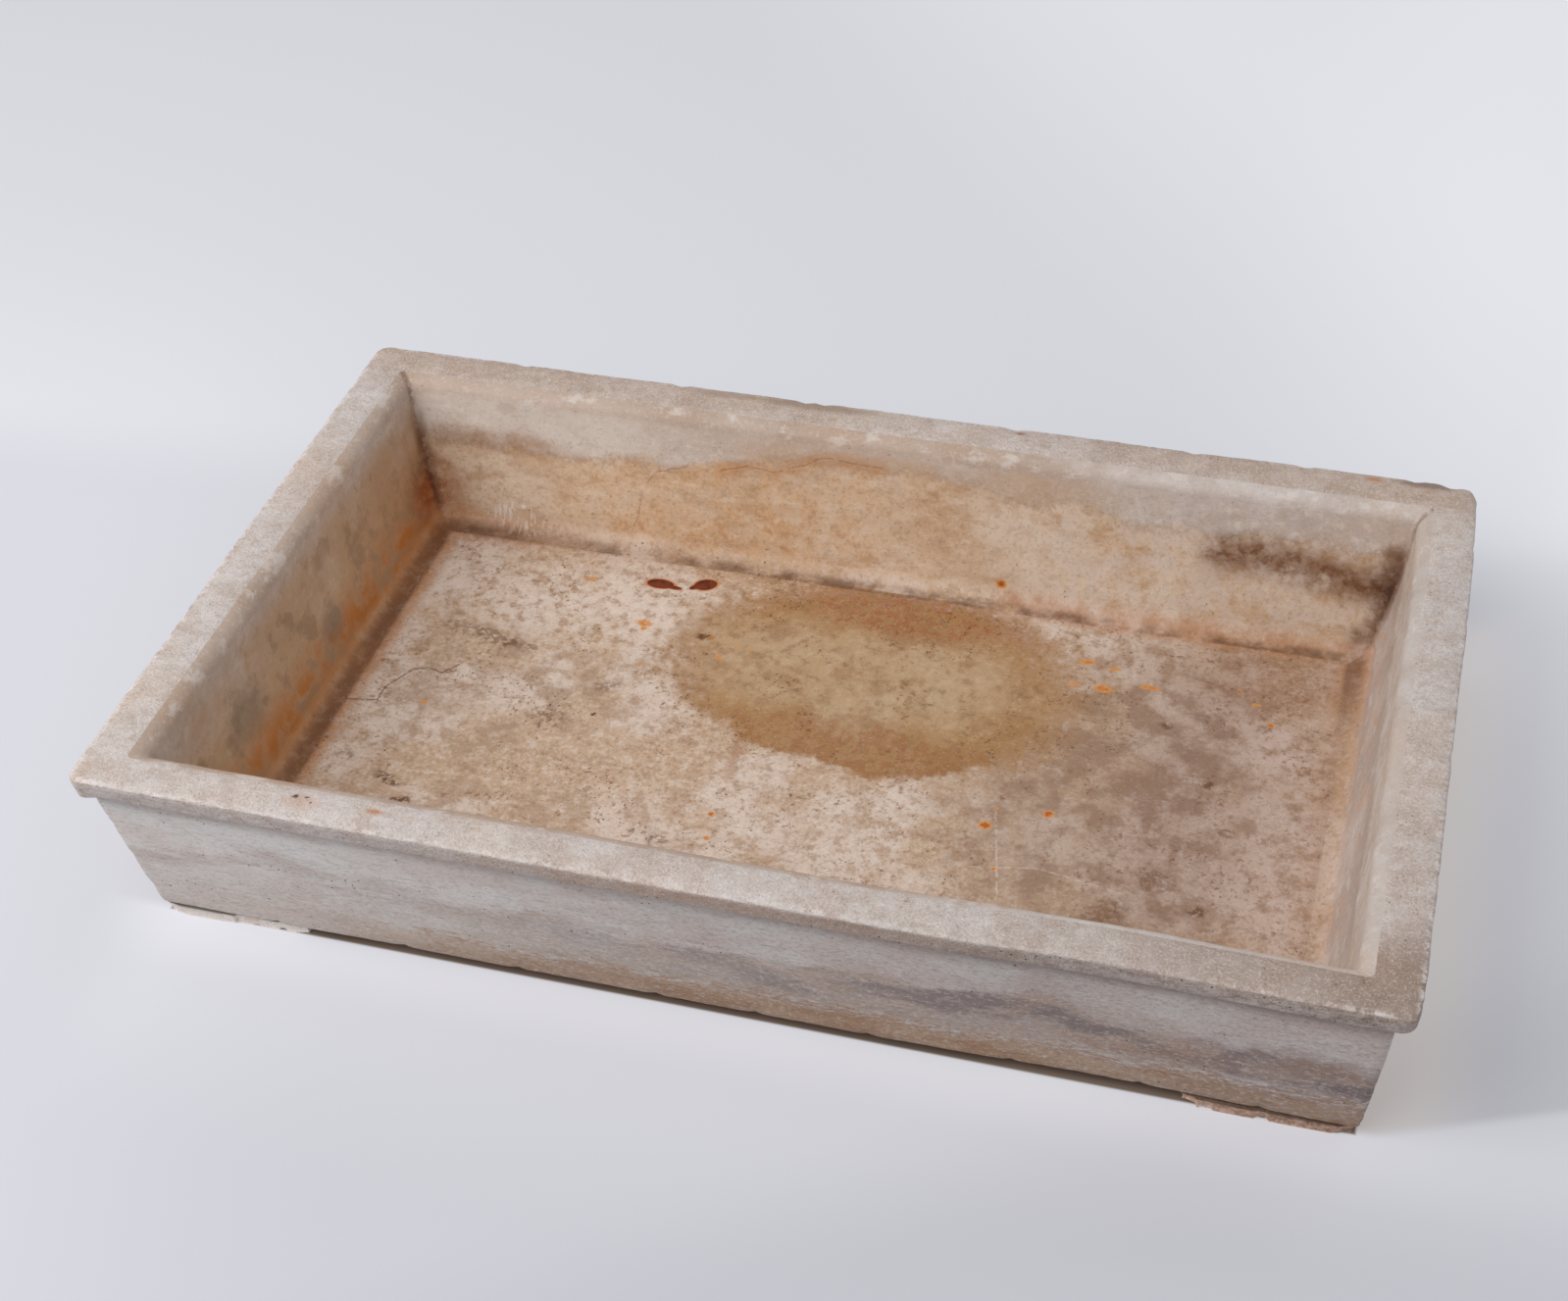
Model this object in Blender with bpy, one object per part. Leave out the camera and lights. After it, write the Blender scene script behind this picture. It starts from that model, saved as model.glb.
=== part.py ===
"""A narcissus bowl: a low basin carved from one block of marble, bedded on four low stone feet.

The origin is on the ground under the middle of the bowl. X runs along the bowl, -Y is its front and
Z is up. All sizes are in metres.
"""
import math

import bmesh
import bpy

# Basin, overall
rim_length = 0.580
rim_width = 0.354
basin_height = 0.092
floor_thickness = 0.0115

# Rim: a slim face that leans in a little, with worn edges, and a broad rounded lip inside
rim_flat_width = 0.0134
arris_round = 0.0014
rim_face_height = 0.0103
rim_face_lean = 0.0013
under_rim_round = 0.0009
lip_width = 0.0121
lip_depth = 0.0080

# Outside wall: a cove under the rim, then one straight lean down to a worn base edge
cove_depth = 0.0068
cove_height = 0.0116
outer_wall_lean = 0.0100
base_edge_round = 0.0022

# The right end stands more upright than the front and the back, by this much at the base. The left end's
# wall lies further out than theirs, most of all at the foot of the cove
right_end_gain = 0.0040
left_base_gain = 0.0010
left_cove_gain = 0.0030

# Inside wall: a lean that grows towards the floor, and a cove where it meets the floor
inner_wall_lean = 0.0062
inner_wall_sweep = 0.0050
floor_cove_round = 0.0100

# Upright corners, seen from above: the rim's back corners are worn rounder than its front ones
rim_front_corner_round = 0.0065
rim_back_corner_round = 0.0080
body_corner_round = 0.0035
lip_corner_round = 0.0030
floor_corner_round = 0.0085

# Feet: low slips of stone under the base corners, which lie on thin beds
left_foot_length = 0.0735
right_foot_length = 0.0750
foot_depth = 0.0500
foot_height = 0.0052
foot_corner_round = 0.0045
foot_reach_out = 0.0014
foot_inner_round = 0.0040
foot_edge_wear = 0.0009
bed_gap = 0.0003

# The front left foot is cut back over the part of its front that lies nearer the middle
step_back = 0.0014
step_length_share = 0.49

# Fineness of the faces, and the bends that count as edges
corner_steps = 5
round_steps = 4
cove_steps = 6
wall_steps = 5
edge_wear_steps = 2
smooth_bend_limit = math.radians(40)
worn_edge_bend = math.radians(50)

# Finishes: colour and roughness
basin_marble_color = (0.56, 0.49, 0.43)
basin_marble_roughness = 0.55
foot_stone_color = (0.42, 0.33, 0.25)
foot_stone_roughness = 0.75

# Level of the rim's flat above the ground
rim_level = foot_height + bed_gap + basin_height

# What the left and right ends of the rim gain on the front and the back
no_gains = (0, 0)


def clear_scene():
    """Removes whatever objects the file already holds."""
    for old_object in list(bpy.data.objects):
        bpy.data.objects.remove(old_object, do_unlink=True)


def make_material(name, color, roughness):
    """A plain stone finish under one name."""
    material = bpy.data.materials.new(name)
    material.use_nodes = True
    shader = material.node_tree.nodes["Principled BSDF"]
    shader.inputs["Base Color"].default_value = (*color, 1)
    shader.inputs["Roughness"].default_value = roughness
    shader.inputs["Metallic"].default_value = 0
    material.diffuse_color = (*color, 1)
    return material


def make_object(name, bm, material):
    """Turns a finished bmesh into a named object whose gentle bends are shaded smooth."""
    bmesh.ops.recalc_face_normals(bm, faces=bm.faces)
    mesh = bpy.data.meshes.new(name)
    bm.to_mesh(mesh)
    bm.free()
    mesh.materials.append(material)
    mesh.shade_smooth()
    mesh.set_sharp_from_angle(angle=smooth_bend_limit)
    new_object = bpy.data.objects.new(name, mesh)
    bpy.context.scene.collection.objects.link(new_object)
    return new_object


def blend(start, end, share):
    """The value that lies the given share of the way from start to end."""
    return start + (end - start) * share


def quarter_shares(steps):
    """Sine and cosine pairs for the points of a quarter turn, its start left out."""
    angles = [math.pi / 2 * step / steps for step in range(1, steps + 1)]
    return [(math.sin(angle), math.cos(angle)) for angle in angles]


def arc(centre_x, centre_y, radius, quarter):
    """Points of one quarter of a circle; quarter 0 starts at +X, and each later one a quarter on."""
    angles = [math.pi / 2 * (quarter + step / corner_steps) for step in range(corner_steps + 1)]
    return [(centre_x + radius * math.cos(angle), centre_y + radius * math.sin(angle)) for angle in angles]


def basin_outline(inset, end_gains, front_round, back_round):
    """Points of the rim's rectangle moved in by an inset, with rounded corners, anticlockwise."""
    left_gain, right_gain = end_gains
    left = inset - rim_length / 2 - left_gain
    right = rim_length / 2 - inset + right_gain
    front = inset - rim_width / 2
    back = rim_width / 2 - inset
    return (
        arc(right - back_round, back - back_round, back_round, 0)
        + arc(left + back_round, back - back_round, back_round, 1)
        + arc(left + front_round, front + front_round, front_round, 2)
        + arc(right - front_round, front + front_round, front_round, 3)
    )


def outside_rings():
    """Outline and depth below the rim of each ring, from the base edge up to the rim's flat."""
    cove_top_inset = rim_face_lean + under_rim_round
    cove_foot_inset = cove_top_inset + cove_depth
    cove_foot_depth = rim_face_height + cove_height
    wall_foot_inset = cove_foot_inset + outer_wall_lean
    wall_foot_depth = basin_height - base_edge_round
    body_rounds = (body_corner_round, body_corner_round)
    rim_rounds = (rim_front_corner_round, rim_back_corner_round)

    base_inset = wall_foot_inset + base_edge_round
    base_gains = (left_base_gain, right_end_gain)
    rings = [(basin_outline(base_inset, base_gains, *body_rounds), basin_height)]
    for along, across in quarter_shares(round_steps):
        inset = wall_foot_inset + base_edge_round * (1 - along)
        depth = wall_foot_depth + base_edge_round * across
        rings.append((basin_outline(inset, base_gains, *body_rounds), depth))
    for step in range(1, wall_steps + 1):
        share = step / wall_steps
        inset = blend(wall_foot_inset, cove_foot_inset, share)
        depth = blend(wall_foot_depth, cove_foot_depth, share)
        gains = (blend(left_base_gain, left_cove_gain, share), right_end_gain * (1 - share))
        rings.append((basin_outline(inset, gains, *body_rounds), depth))
    for along, across in quarter_shares(cove_steps):
        inset = cove_top_inset + cove_depth * across
        depth = cove_foot_depth - cove_height * along
        rounds = [blend(body, rim, along) for body, rim in zip(body_rounds, rim_rounds)]
        rings.append((basin_outline(inset, (left_cove_gain * across, 0), *rounds), depth))
    for along, across in quarter_shares(round_steps):
        inset = rim_face_lean + under_rim_round * (1 - along)
        depth = rim_face_height - under_rim_round * (1 - across)
        rings.append((basin_outline(inset, no_gains, *rim_rounds), depth))
    rings.append((basin_outline(0, no_gains, *rim_rounds), arris_round))
    for along, across in quarter_shares(round_steps):
        inset = arris_round * (1 - across)
        depth = arris_round * (1 - along)
        rings.append((basin_outline(inset, no_gains, *rim_rounds), depth))
    return rings


def inside_rings():
    """The same two values from the inner edge of the rim's flat down to the floor."""
    flat_end_inset = arris_round + rim_flat_width
    wall_top_inset = flat_end_inset + lip_width
    wall_height = basin_height - floor_thickness - lip_depth - floor_cove_round
    wall_foot_inset = wall_top_inset + inner_wall_lean + inner_wall_sweep
    wall_foot_depth = lip_depth + wall_height

    def ring(inset, depth, corner_round):
        return basin_outline(inset, no_gains, corner_round, corner_round), depth

    rings = [ring(flat_end_inset, 0, lip_corner_round)]
    for along, across in quarter_shares(round_steps):
        inset = flat_end_inset + lip_width * along
        rings.append(ring(inset, lip_depth * (1 - across), lip_corner_round))
    for step in range(1, wall_steps + 1):
        share = step / wall_steps
        inset = wall_top_inset + inner_wall_lean * share + inner_wall_sweep * share ** 2
        corner_round = blend(lip_corner_round, floor_corner_round, share)
        rings.append(ring(inset, lip_depth + wall_height * share, corner_round))
    for along, across in quarter_shares(cove_steps):
        inset = wall_foot_inset + floor_cove_round * (1 - across)
        rings.append(ring(inset, wall_foot_depth + floor_cove_round * along, floor_corner_round))
    return rings


def extrude_to(bm, face, points, height):
    """Extrudes a face and moves its copy onto the given points at the given height."""
    region = [face, *face.edges, *face.verts]
    result = bmesh.ops.extrude_face_region(bm, geom=region)
    new_face = next(item for item in result["geom"] if isinstance(item, bmesh.types.BMFace))
    for vert, (x, y) in zip(new_face.verts, points):
        vert.co = (x, y, height)
    return new_face


def make_basin(material):
    """Extrudes the base outline up the outside, over the rim and down the inside to the floor."""
    bm = bmesh.new()
    face = None
    for points, depth in outside_rings() + inside_rings():
        if face is None:
            face = bm.faces.new([bm.verts.new((x, y, rim_level - depth)) for x, y in points])
        else:
            face = extrude_to(bm, face, points, rim_level - depth)
    return make_object("basin", bm, material)


def foot_outline(length, stepped):
    """Points of a foot seen from above, with its outer corner at the origin, anticlockwise."""
    points = arc(foot_corner_round, foot_corner_round, foot_corner_round, 2)
    front = 0
    if stepped:
        step_place = length * step_length_share
        front = step_back
        points += [(step_place, 0), (step_place + step_back, front)]
    inner_end = length - foot_inner_round
    points += arc(inner_end, front + foot_inner_round, foot_inner_round, 3)
    points += arc(inner_end, foot_depth - foot_inner_round, foot_inner_round, 0)
    points += arc(foot_inner_round, foot_depth - foot_inner_round, foot_inner_round, 1)
    return points


def make_foot(name, side_x, side_y, stepped, material):
    """Extrudes a foot's outline up from the ground, under the base corner on the given sides."""
    base_points = outside_rings()[0][0]
    corner_x = max(side_x * x for x, y in base_points) + foot_reach_out
    corner_y = max(side_y * y for x, y in base_points) + foot_reach_out
    length = left_foot_length if side_x < 0 else right_foot_length
    points = [(side_x * (corner_x - x), side_y * (corner_y - y)) for x, y in foot_outline(length, stepped)]
    bm = bmesh.new()
    sole = bm.faces.new([bm.verts.new((x, y, 0)) for x, y in points])
    extrude_to(bm, sole, points, foot_height)
    foot = make_object(name, bm, material)
    wear = foot.modifiers.new("edge_wear", "BEVEL")
    wear.width = foot_edge_wear
    wear.segments = edge_wear_steps
    wear.limit_method = "ANGLE"
    wear.angle_limit = worn_edge_bend
    return foot


def main():
    clear_scene()
    marble = make_material("basin_marble", basin_marble_color, basin_marble_roughness)
    foot_stone = make_material("foot_stone", foot_stone_color, foot_stone_roughness)
    make_basin(marble)
    make_foot("foot_front_left", -1, -1, True, foot_stone)
    make_foot("foot_front_right", 1, -1, False, foot_stone)
    make_foot("foot_back_left", -1, 1, False, foot_stone)
    make_foot("foot_back_right", 1, 1, False, foot_stone)


main()
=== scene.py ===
"""A narcissus bowl of old marble on four low feet: its shape, its stone, and a plain pale studio.

The origin is on the ground under the middle of the bowl. X runs along the bowl, -Y is its front and
Z is up. Sizes are in metres.
"""
import math
from collections import namedtuple
from functools import reduce

import bmesh
import bpy
from mathutils import Matrix, Vector, noise


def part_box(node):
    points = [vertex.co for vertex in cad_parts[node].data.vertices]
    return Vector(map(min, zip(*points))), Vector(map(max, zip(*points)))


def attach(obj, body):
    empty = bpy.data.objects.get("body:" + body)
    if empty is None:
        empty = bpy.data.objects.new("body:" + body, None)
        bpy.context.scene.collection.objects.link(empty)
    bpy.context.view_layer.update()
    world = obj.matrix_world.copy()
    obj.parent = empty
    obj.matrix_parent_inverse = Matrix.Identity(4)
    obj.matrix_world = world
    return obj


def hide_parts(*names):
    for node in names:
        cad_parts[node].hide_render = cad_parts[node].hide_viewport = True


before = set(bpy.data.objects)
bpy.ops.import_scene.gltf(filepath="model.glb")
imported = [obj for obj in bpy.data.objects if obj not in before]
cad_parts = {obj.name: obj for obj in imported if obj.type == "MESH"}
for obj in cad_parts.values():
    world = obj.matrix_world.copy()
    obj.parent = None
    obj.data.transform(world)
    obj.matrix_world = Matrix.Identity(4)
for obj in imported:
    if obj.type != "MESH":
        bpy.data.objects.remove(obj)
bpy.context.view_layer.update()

mm = 0.001
tiny = 0.01 * mm

# Basin: its box comes from the frame, less the room that its uneven faces need, and its section from the
# carver's own sizes
basin_low, basin_high = (Vector(corner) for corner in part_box("basin"))
unevenness = 0.4 * mm
rim_length = basin_high.x - basin_low.x - 2 * unevenness
rim_width = basin_high.y - basin_low.y - 2 * unevenness
rim_level = basin_high.z - unevenness
base_level = basin_low.z
floor_level = base_level + 11.5 * mm

rim_flat_width = 13.2 * mm
rim_crown = 0.4 * mm
arris_round = 1.6 * mm
rim_face_height = 10.3 * mm
rim_face_lean = 1.3 * mm
under_rim_round = 0.9 * mm
lip_width = 12.1 * mm
lip_depth = 8.0 * mm
cove_depth = 6.8 * mm
cove_height = 11.6 * mm
outer_wall_lean = 10.0 * mm
base_edge_round = 2.0 * mm
right_base_gain = 4.0 * mm
left_base_gain = 1.0 * mm
left_cove_gain = 3.0 * mm
inner_wall_lean = 6.2 * mm
inner_wall_sweep = 5.0 * mm
floor_cove_round = 10.0 * mm

# Upright corners, seen from above
rim_front_corner_round = 6.5 * mm
rim_back_corner_round = 7.5 * mm
body_corner_round = 3.0 * mm
lip_corner_round = 2.6 * mm
floor_corner_round = 8.5 * mm

# How finely the block is cut up
corner_steps = 6
arris_steps = 4
face_steps = 3
under_rim_steps = 2
cove_steps = 6
outer_wall_steps = 19
base_edge_steps = 3
flat_steps = 6
lip_steps = 7
inner_wall_steps = 18
floor_cove_steps = 6
length_cuts = (14, 14)
width_cuts = (11, 10)

# Sharper bends than these stay sharp in the shading
basin_bend_limit = math.radians(38)
foot_bend_limit = math.radians(32)

# Feet: how often each slip is cut up along X, Y and Z, how its corners are worn, and the step in the
# front of the front left one
foot_cuts = (44, 24, 4)
foot_corner_wear = 1.8 * mm
foot_corner_break = 1.4 * mm
front_left_corner_wear = 0.8 * mm
front_left_corner_break = 3.2 * mm
foot_inner_corner_wear = 1.6 * mm
foot_corner_drop = 0.8 * mm
step_length_share = 0.49
step_back = 1.4 * mm

# Where a foot's lower edge has broken away, in millimetres: how far from the outer end, how wide, and
# the share of the height that is left there
foot_notches = {
    "left": ((33, 5, 0.9), (47, 4, 0.95), (60, 4, 0.88)),
    "right": ((8, 6, 0.95), (40, 5, 0.84), (63, 4, 0.86), (71, 7, 0.7)),
}

# Camera: the photograph's width, and the place and turn that its straight edges give
image_width = 1599
focal_pixels = 2516.413
sensor_width = 36
camera_place = Vector((0.25109, -0.84050, 0.81697))
camera_right = Vector((0.96158636, 0.27222189, -0.03531158))
camera_down = Vector((0.14895282, -0.6255014, -0.76587275))
camera_ahead = Vector((-0.23057477, 0.73119303, -0.64202183))

# Studio: the air's color and strength, and for each lamp its azimuth, elevation, distance, size, power and
# color
air_color = (0.93, 0.95, 1.0, 1)
air_strength = 0.62
paper_size = 8
lamps = {
    "window_side_lamp": (71, 34, 1.9, 0.9, 11.5, (1, 0.98, 0.96)),
    "front_lamp": (30, 56, 2.0, 1.4, 13.5, (1, 0.99, 0.98)),
}

Ring = namedtuple("Ring", "inset level left_gain right_gain front_round back_round")


def share_of(start, end, share):
    """The value that lies the given share of the way from start to end."""
    return start + (end - start) * share


def quarter(steps):
    """Sine and cosine pairs for the points of a quarter turn, its start left out."""
    turns = [math.pi / 2 * step / steps for step in range(1, steps + 1)]
    return [(math.sin(turn), math.cos(turn)) for turn in turns]


def outside_rings():
    """From just under the arris down the rim's face, the cove and the wall to the base edge."""
    rings = []

    def add(inset, drop, corner_share=0.0, left_gain=0.0, right_gain=0.0):
        front = share_of(rim_front_corner_round, body_corner_round, corner_share)
        back = share_of(rim_back_corner_round, body_corner_round, corner_share)
        rings.append(Ring(inset, rim_level - drop, left_gain, right_gain, front, back))

    face_foot = rim_face_height - under_rim_round
    for step in range(1, face_steps + 1):
        part = step / face_steps
        add(rim_face_lean * part, share_of(arris_round, face_foot, part))
    cove_top_inset = rim_face_lean + under_rim_round
    for along, across in quarter(under_rim_steps):
        add(rim_face_lean + under_rim_round * (1 - across), face_foot + under_rim_round * along)
    cove_turns = [(0, 1)] + quarter(cove_steps)
    for along, across in reversed(cove_turns[:-1]):
        inset = cove_top_inset + cove_depth * across
        add(inset, rim_face_height + cove_height * (1 - along), across, left_cove_gain * across)
    cove_foot_inset = cove_top_inset + cove_depth
    cove_foot_drop = rim_face_height + cove_height
    wall_foot_drop = rim_level - base_level - base_edge_round
    for step in range(1, outer_wall_steps + 1):
        part = step / outer_wall_steps
        inset = cove_foot_inset + outer_wall_lean * part
        left_gain = share_of(left_cove_gain, left_base_gain, part)
        add(inset, share_of(cove_foot_drop, wall_foot_drop, part), 1, left_gain, right_base_gain * part)
    wall_foot_inset = cove_foot_inset + outer_wall_lean
    for along, across in quarter(base_edge_steps):
        inset = wall_foot_inset + base_edge_round * (1 - across)
        add(inset, wall_foot_drop + base_edge_round * along, 1, left_base_gain, right_base_gain)
    return rings


def inside_rings():
    """From over the arris across the rim's flat, round the lip and down the wall to the floor."""
    rings = []

    def add(inset, drop, corner_share, floor_share=0.0):
        inner = share_of(lip_corner_round, floor_corner_round, floor_share)
        front = share_of(rim_front_corner_round, inner, corner_share)
        back = share_of(rim_back_corner_round, inner, corner_share)
        rings.append(Ring(inset, rim_level - drop, 0, 0, front, back))

    for along, across in quarter(arris_steps):
        add(arris_round * (1 - across), rim_crown + (arris_round - rim_crown) * (1 - along), 0)
    for step in range(1, flat_steps + 1):
        part = step / flat_steps
        crown_drop = rim_crown * (2 * part - 1) ** 2
        add(arris_round + rim_flat_width * part, crown_drop, part)
    flat_end = arris_round + rim_flat_width
    for along, across in quarter(lip_steps):
        add(flat_end + lip_width * along, rim_crown + (lip_depth - rim_crown) * (1 - across), 1)
    wall_top = flat_end + lip_width
    wall_height = rim_level - floor_level - lip_depth - floor_cove_round
    for step in range(1, inner_wall_steps + 1):
        part = step / inner_wall_steps
        inset = wall_top + inner_wall_lean * part + inner_wall_sweep * part ** 2
        add(inset, lip_depth + wall_height * part, 1, part)
    wall_foot = wall_top + inner_wall_lean + inner_wall_sweep
    for along, across in quarter(floor_cove_steps):
        inset = wall_foot + floor_cove_round * (1 - across)
        add(inset, lip_depth + wall_height + floor_cove_round * along, 1, 1)
    return rings


def sides_of(ring):
    """Left, right, front and back of a ring."""
    left = ring.inset - rim_length / 2 - ring.left_gain
    right = rim_length / 2 - ring.inset + ring.right_gain
    return left, right, ring.inset - rim_width / 2, rim_width / 2 - ring.inset


def edit_mesh(piece):
    """The mesh of the piece that is in edit mode, with its tables up to date."""
    mesh = bmesh.from_edit_mesh(piece.data)
    mesh.verts.ensure_lookup_table()
    mesh.edges.ensure_lookup_table()
    mesh.faces.ensure_lookup_table()
    return mesh


def select_only(piece, kind, chosen):
    """Selects the vertices, edges or faces for which the test holds, and nothing else."""
    bpy.ops.mesh.select_mode(type={"verts": "VERT", "edges": "EDGE", "faces": "FACE"}[kind])
    bpy.ops.mesh.select_all(action="DESELECT")
    mesh = edit_mesh(piece)
    for element in getattr(mesh, kind):
        if chosen(element):
            element.select_set(True)
    bmesh.update_edit_mesh(piece.data)


def draw_ring(piece, old, new):
    """Moves the ring that was just extruded to its new outline, its four corner rounds included."""
    old_left, old_right, old_front, old_back = sides_of(old)
    left, right, front, back = sides_of(new)
    stretch_x = (right - left) / (old_right - old_left)
    stretch_y = (back - front) / (old_back - old_front)
    old_middle = Vector(((old_left + old_right) / 2, 0, old.level))
    bpy.ops.transform.resize(value=(stretch_x, stretch_y, 1), center_override=old_middle)
    shift = ((left + right) / 2 - old_middle.x, 0, new.level - old.level)
    bpy.ops.transform.translate(value=shift)

    mesh = edit_mesh(piece)
    ring = [vert.index for vert in mesh.verts if vert.select]
    for corner_x in (left, right):
        for corner_y, old_round, new_round in (
            (front, old.front_round, new.front_round), (back, old.back_round, new.back_round)
        ):
            reach_x, reach_y = old_round * stretch_x, old_round * stretch_y
            mesh = edit_mesh(piece)
            for index in ring:
                place = mesh.verts[index].co
                near = abs(place.x - corner_x) < reach_x + tiny and abs(place.y - corner_y) < reach_y + tiny
                mesh.verts[index].select_set(near)
            bmesh.update_edit_mesh(piece.data)
            change = (new_round / reach_x, new_round / reach_y, 1)
            bpy.ops.transform.resize(value=change, center_override=(corner_x, corner_y, new.level))
    mesh = edit_mesh(piece)
    for index in ring:
        mesh.verts[index].select_set(True)
    mesh.select_flush_mode()
    bmesh.update_edit_mesh(piece.data)


def start_editing(piece):
    """Makes the piece the only one chosen and goes into its mesh."""
    bpy.ops.object.select_all(action="DESELECT")
    piece.select_set(True)
    bpy.context.view_layer.objects.active = piece
    bpy.ops.object.mode_set(mode="EDIT")


def carve_basin():
    """The block: a plate with rounded corners, drawn down outside, then over the rim to the floor."""
    bpy.ops.object.select_all(action="DESELECT")
    bpy.ops.mesh.primitive_plane_add(size=1, location=(0, 0, rim_level - arris_round))
    basin = bpy.context.active_object
    basin.name = basin.data.name = "basin_block"
    basin.scale = (rim_length, rim_width, 1)
    bpy.ops.object.transform_apply(location=True, rotation=False, scale=True)
    start_editing(basin)

    for front, corner_round in ((True, rim_front_corner_round), (False, rim_back_corner_round)):
        select_only(basin, "verts", lambda vert: (vert.co.y < 0) == front and len(vert.link_edges) == 2
                    and abs(abs(vert.co.x) - rim_length / 2) < tiny
                    and abs(abs(vert.co.y) - rim_width / 2) < tiny)
        bpy.ops.mesh.bevel(offset=corner_round, segments=corner_steps, affect="VERTICES")

    first = Ring(0, rim_level - arris_round, 0, 0, rim_front_corner_round, rim_back_corner_round)
    bpy.ops.mesh.select_mode(type="EDGE")
    bpy.ops.mesh.select_all(action="SELECT")
    old = first
    for new in outside_rings():
        bpy.ops.mesh.extrude_edges_indiv()
        draw_ring(basin, old, new)
        old = new

    select_only(basin, "faces", lambda face: len(face.verts) > 4)
    old = first
    for new in inside_rings():
        bpy.ops.mesh.extrude_region()
        draw_ring(basin, old, new)
        old = new
    lay_floor(basin, old)
    cut_up(basin)
    bpy.ops.mesh.select_mode(type="EDGE")
    bpy.ops.mesh.select_all(action="DESELECT")
    bpy.ops.mesh.select_non_manifold()
    bpy.ops.mesh.edge_face_add()
    bpy.ops.mesh.select_all(action="SELECT")
    bpy.ops.mesh.normals_make_consistent(inside=False)
    bpy.ops.object.mode_set(mode="OBJECT")
    return basin


def lay_floor(piece, edge):
    """Draws the floor's round corners together into the corners of one plain rectangle."""
    bpy.ops.mesh.select_mode(type="FACE")
    bpy.ops.mesh.extrude_region()
    square = Ring(edge.inset + floor_corner_round * 0.4, edge.level, 0, 0, tiny, tiny)
    draw_ring(piece, edge, square)
    bpy.ops.mesh.select_mode(type="VERT")
    bpy.ops.mesh.remove_doubles(threshold=4 * tiny)


def cut_up(piece):
    """Cuts the long straight stretches into short ones, along X and then along Y."""
    for axis, cuts, whole in ((0, length_cuts, rim_length), (1, width_cuts, rim_width)):
        long_enough = whole / 3
        for number in cuts:
            def runs_along(edge):
                way = edge.verts[1].co - edge.verts[0].co
                return abs(way[axis]) > long_enough and abs(way[1 - axis]) < tiny and abs(way.z) < tiny
            select_only(piece, "edges", runs_along)
            bpy.ops.mesh.subdivide(number_cuts=number)
            long_enough = whole / 3 / (number + 1)


def press_in(piece, places, push, reach, falloff="SMOOTH"):
    """Knocks a dent into the mesh at each place: the nearest point moves, its neighbours follow."""
    for place in places:
        bpy.ops.mesh.select_mode(type="VERT")
        bpy.ops.mesh.select_all(action="DESELECT")
        mesh = edit_mesh(piece)
        nearest = min(mesh.verts, key=lambda vert: (vert.co - Vector(place)).length_squared)
        nearest.select_set(True)
        bmesh.update_edit_mesh(piece.data)
        bpy.ops.transform.translate(
            value=push, use_proportional_edit=True, use_proportional_connected=False,
            proportional_edit_falloff=falloff, proportional_size=reach,
        )


def roughen(piece, name, size, depth, group, level=1.0):
    """Makes the surface uneven by the given depth in patches of the given size; at level 1 it only sinks."""
    pattern = bpy.data.textures.new(name, "CLOUDS")
    pattern.noise_scale = size
    pattern.noise_depth = 2
    wear = piece.modifiers.new(name, "DISPLACE")
    wear.texture = pattern
    wear.texture_coords = "LOCAL"
    wear.strength = depth
    wear.mid_level = level
    wear.vertex_group = group
    bpy.ops.object.select_all(action="DESELECT")
    piece.select_set(True)
    bpy.context.view_layer.objects.active = piece
    bpy.ops.object.modifier_apply(modifier=wear.name)


def mark_worn(piece, name, weigh):
    """A vertex group that holds how worn each point is, from 0 to 1."""
    group = piece.vertex_groups.new(name=name)
    for vert in piece.data.vertices:
        weight = weigh(vert.co, vert.normal)
        if weight > 0:
            group.add([vert.index], min(weight, 1), "REPLACE")


def bump_at(value, middle, reach):
    """1 at the middle, falling softly to 0 at the reach."""
    share = min(abs(value - middle) / reach, 1)
    return 1 - share * share * (3 - 2 * share)


def edge_wear(place, normal):
    """Arris, rim face and base edge are worn, in some stretches much more than in others."""
    inset = min(rim_length / 2 - abs(place.x), rim_width / 2 - abs(place.y))
    stretch = 0.35 + 0.65 * max(noise.noise(place * 28) + 0.35, 0)
    arris = bump_at(inset, 0, 3.2 * mm) * bump_at(place.z, rim_level, 4 * mm)
    face = 0.4 * bump_at(inset, 0, 4 * mm) * bump_at(place.z, rim_level - rim_face_height / 2, 6 * mm)
    base = bump_at(place.z, base_level + base_edge_round, 4 * mm) * (inset > 12 * mm) * (inset < 24 * mm)
    return max(arris * stretch, face * stretch, base * stretch * 0.8)


def wall_unevenness(place, normal):
    """Outer walls and inner walls are hand cut; the rim's flat and the floor are rubbed flatter."""
    upright = math.hypot(normal.x, normal.y)
    return 0.25 + 0.75 * upright if place.z > base_level + 1 * mm else 0


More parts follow.
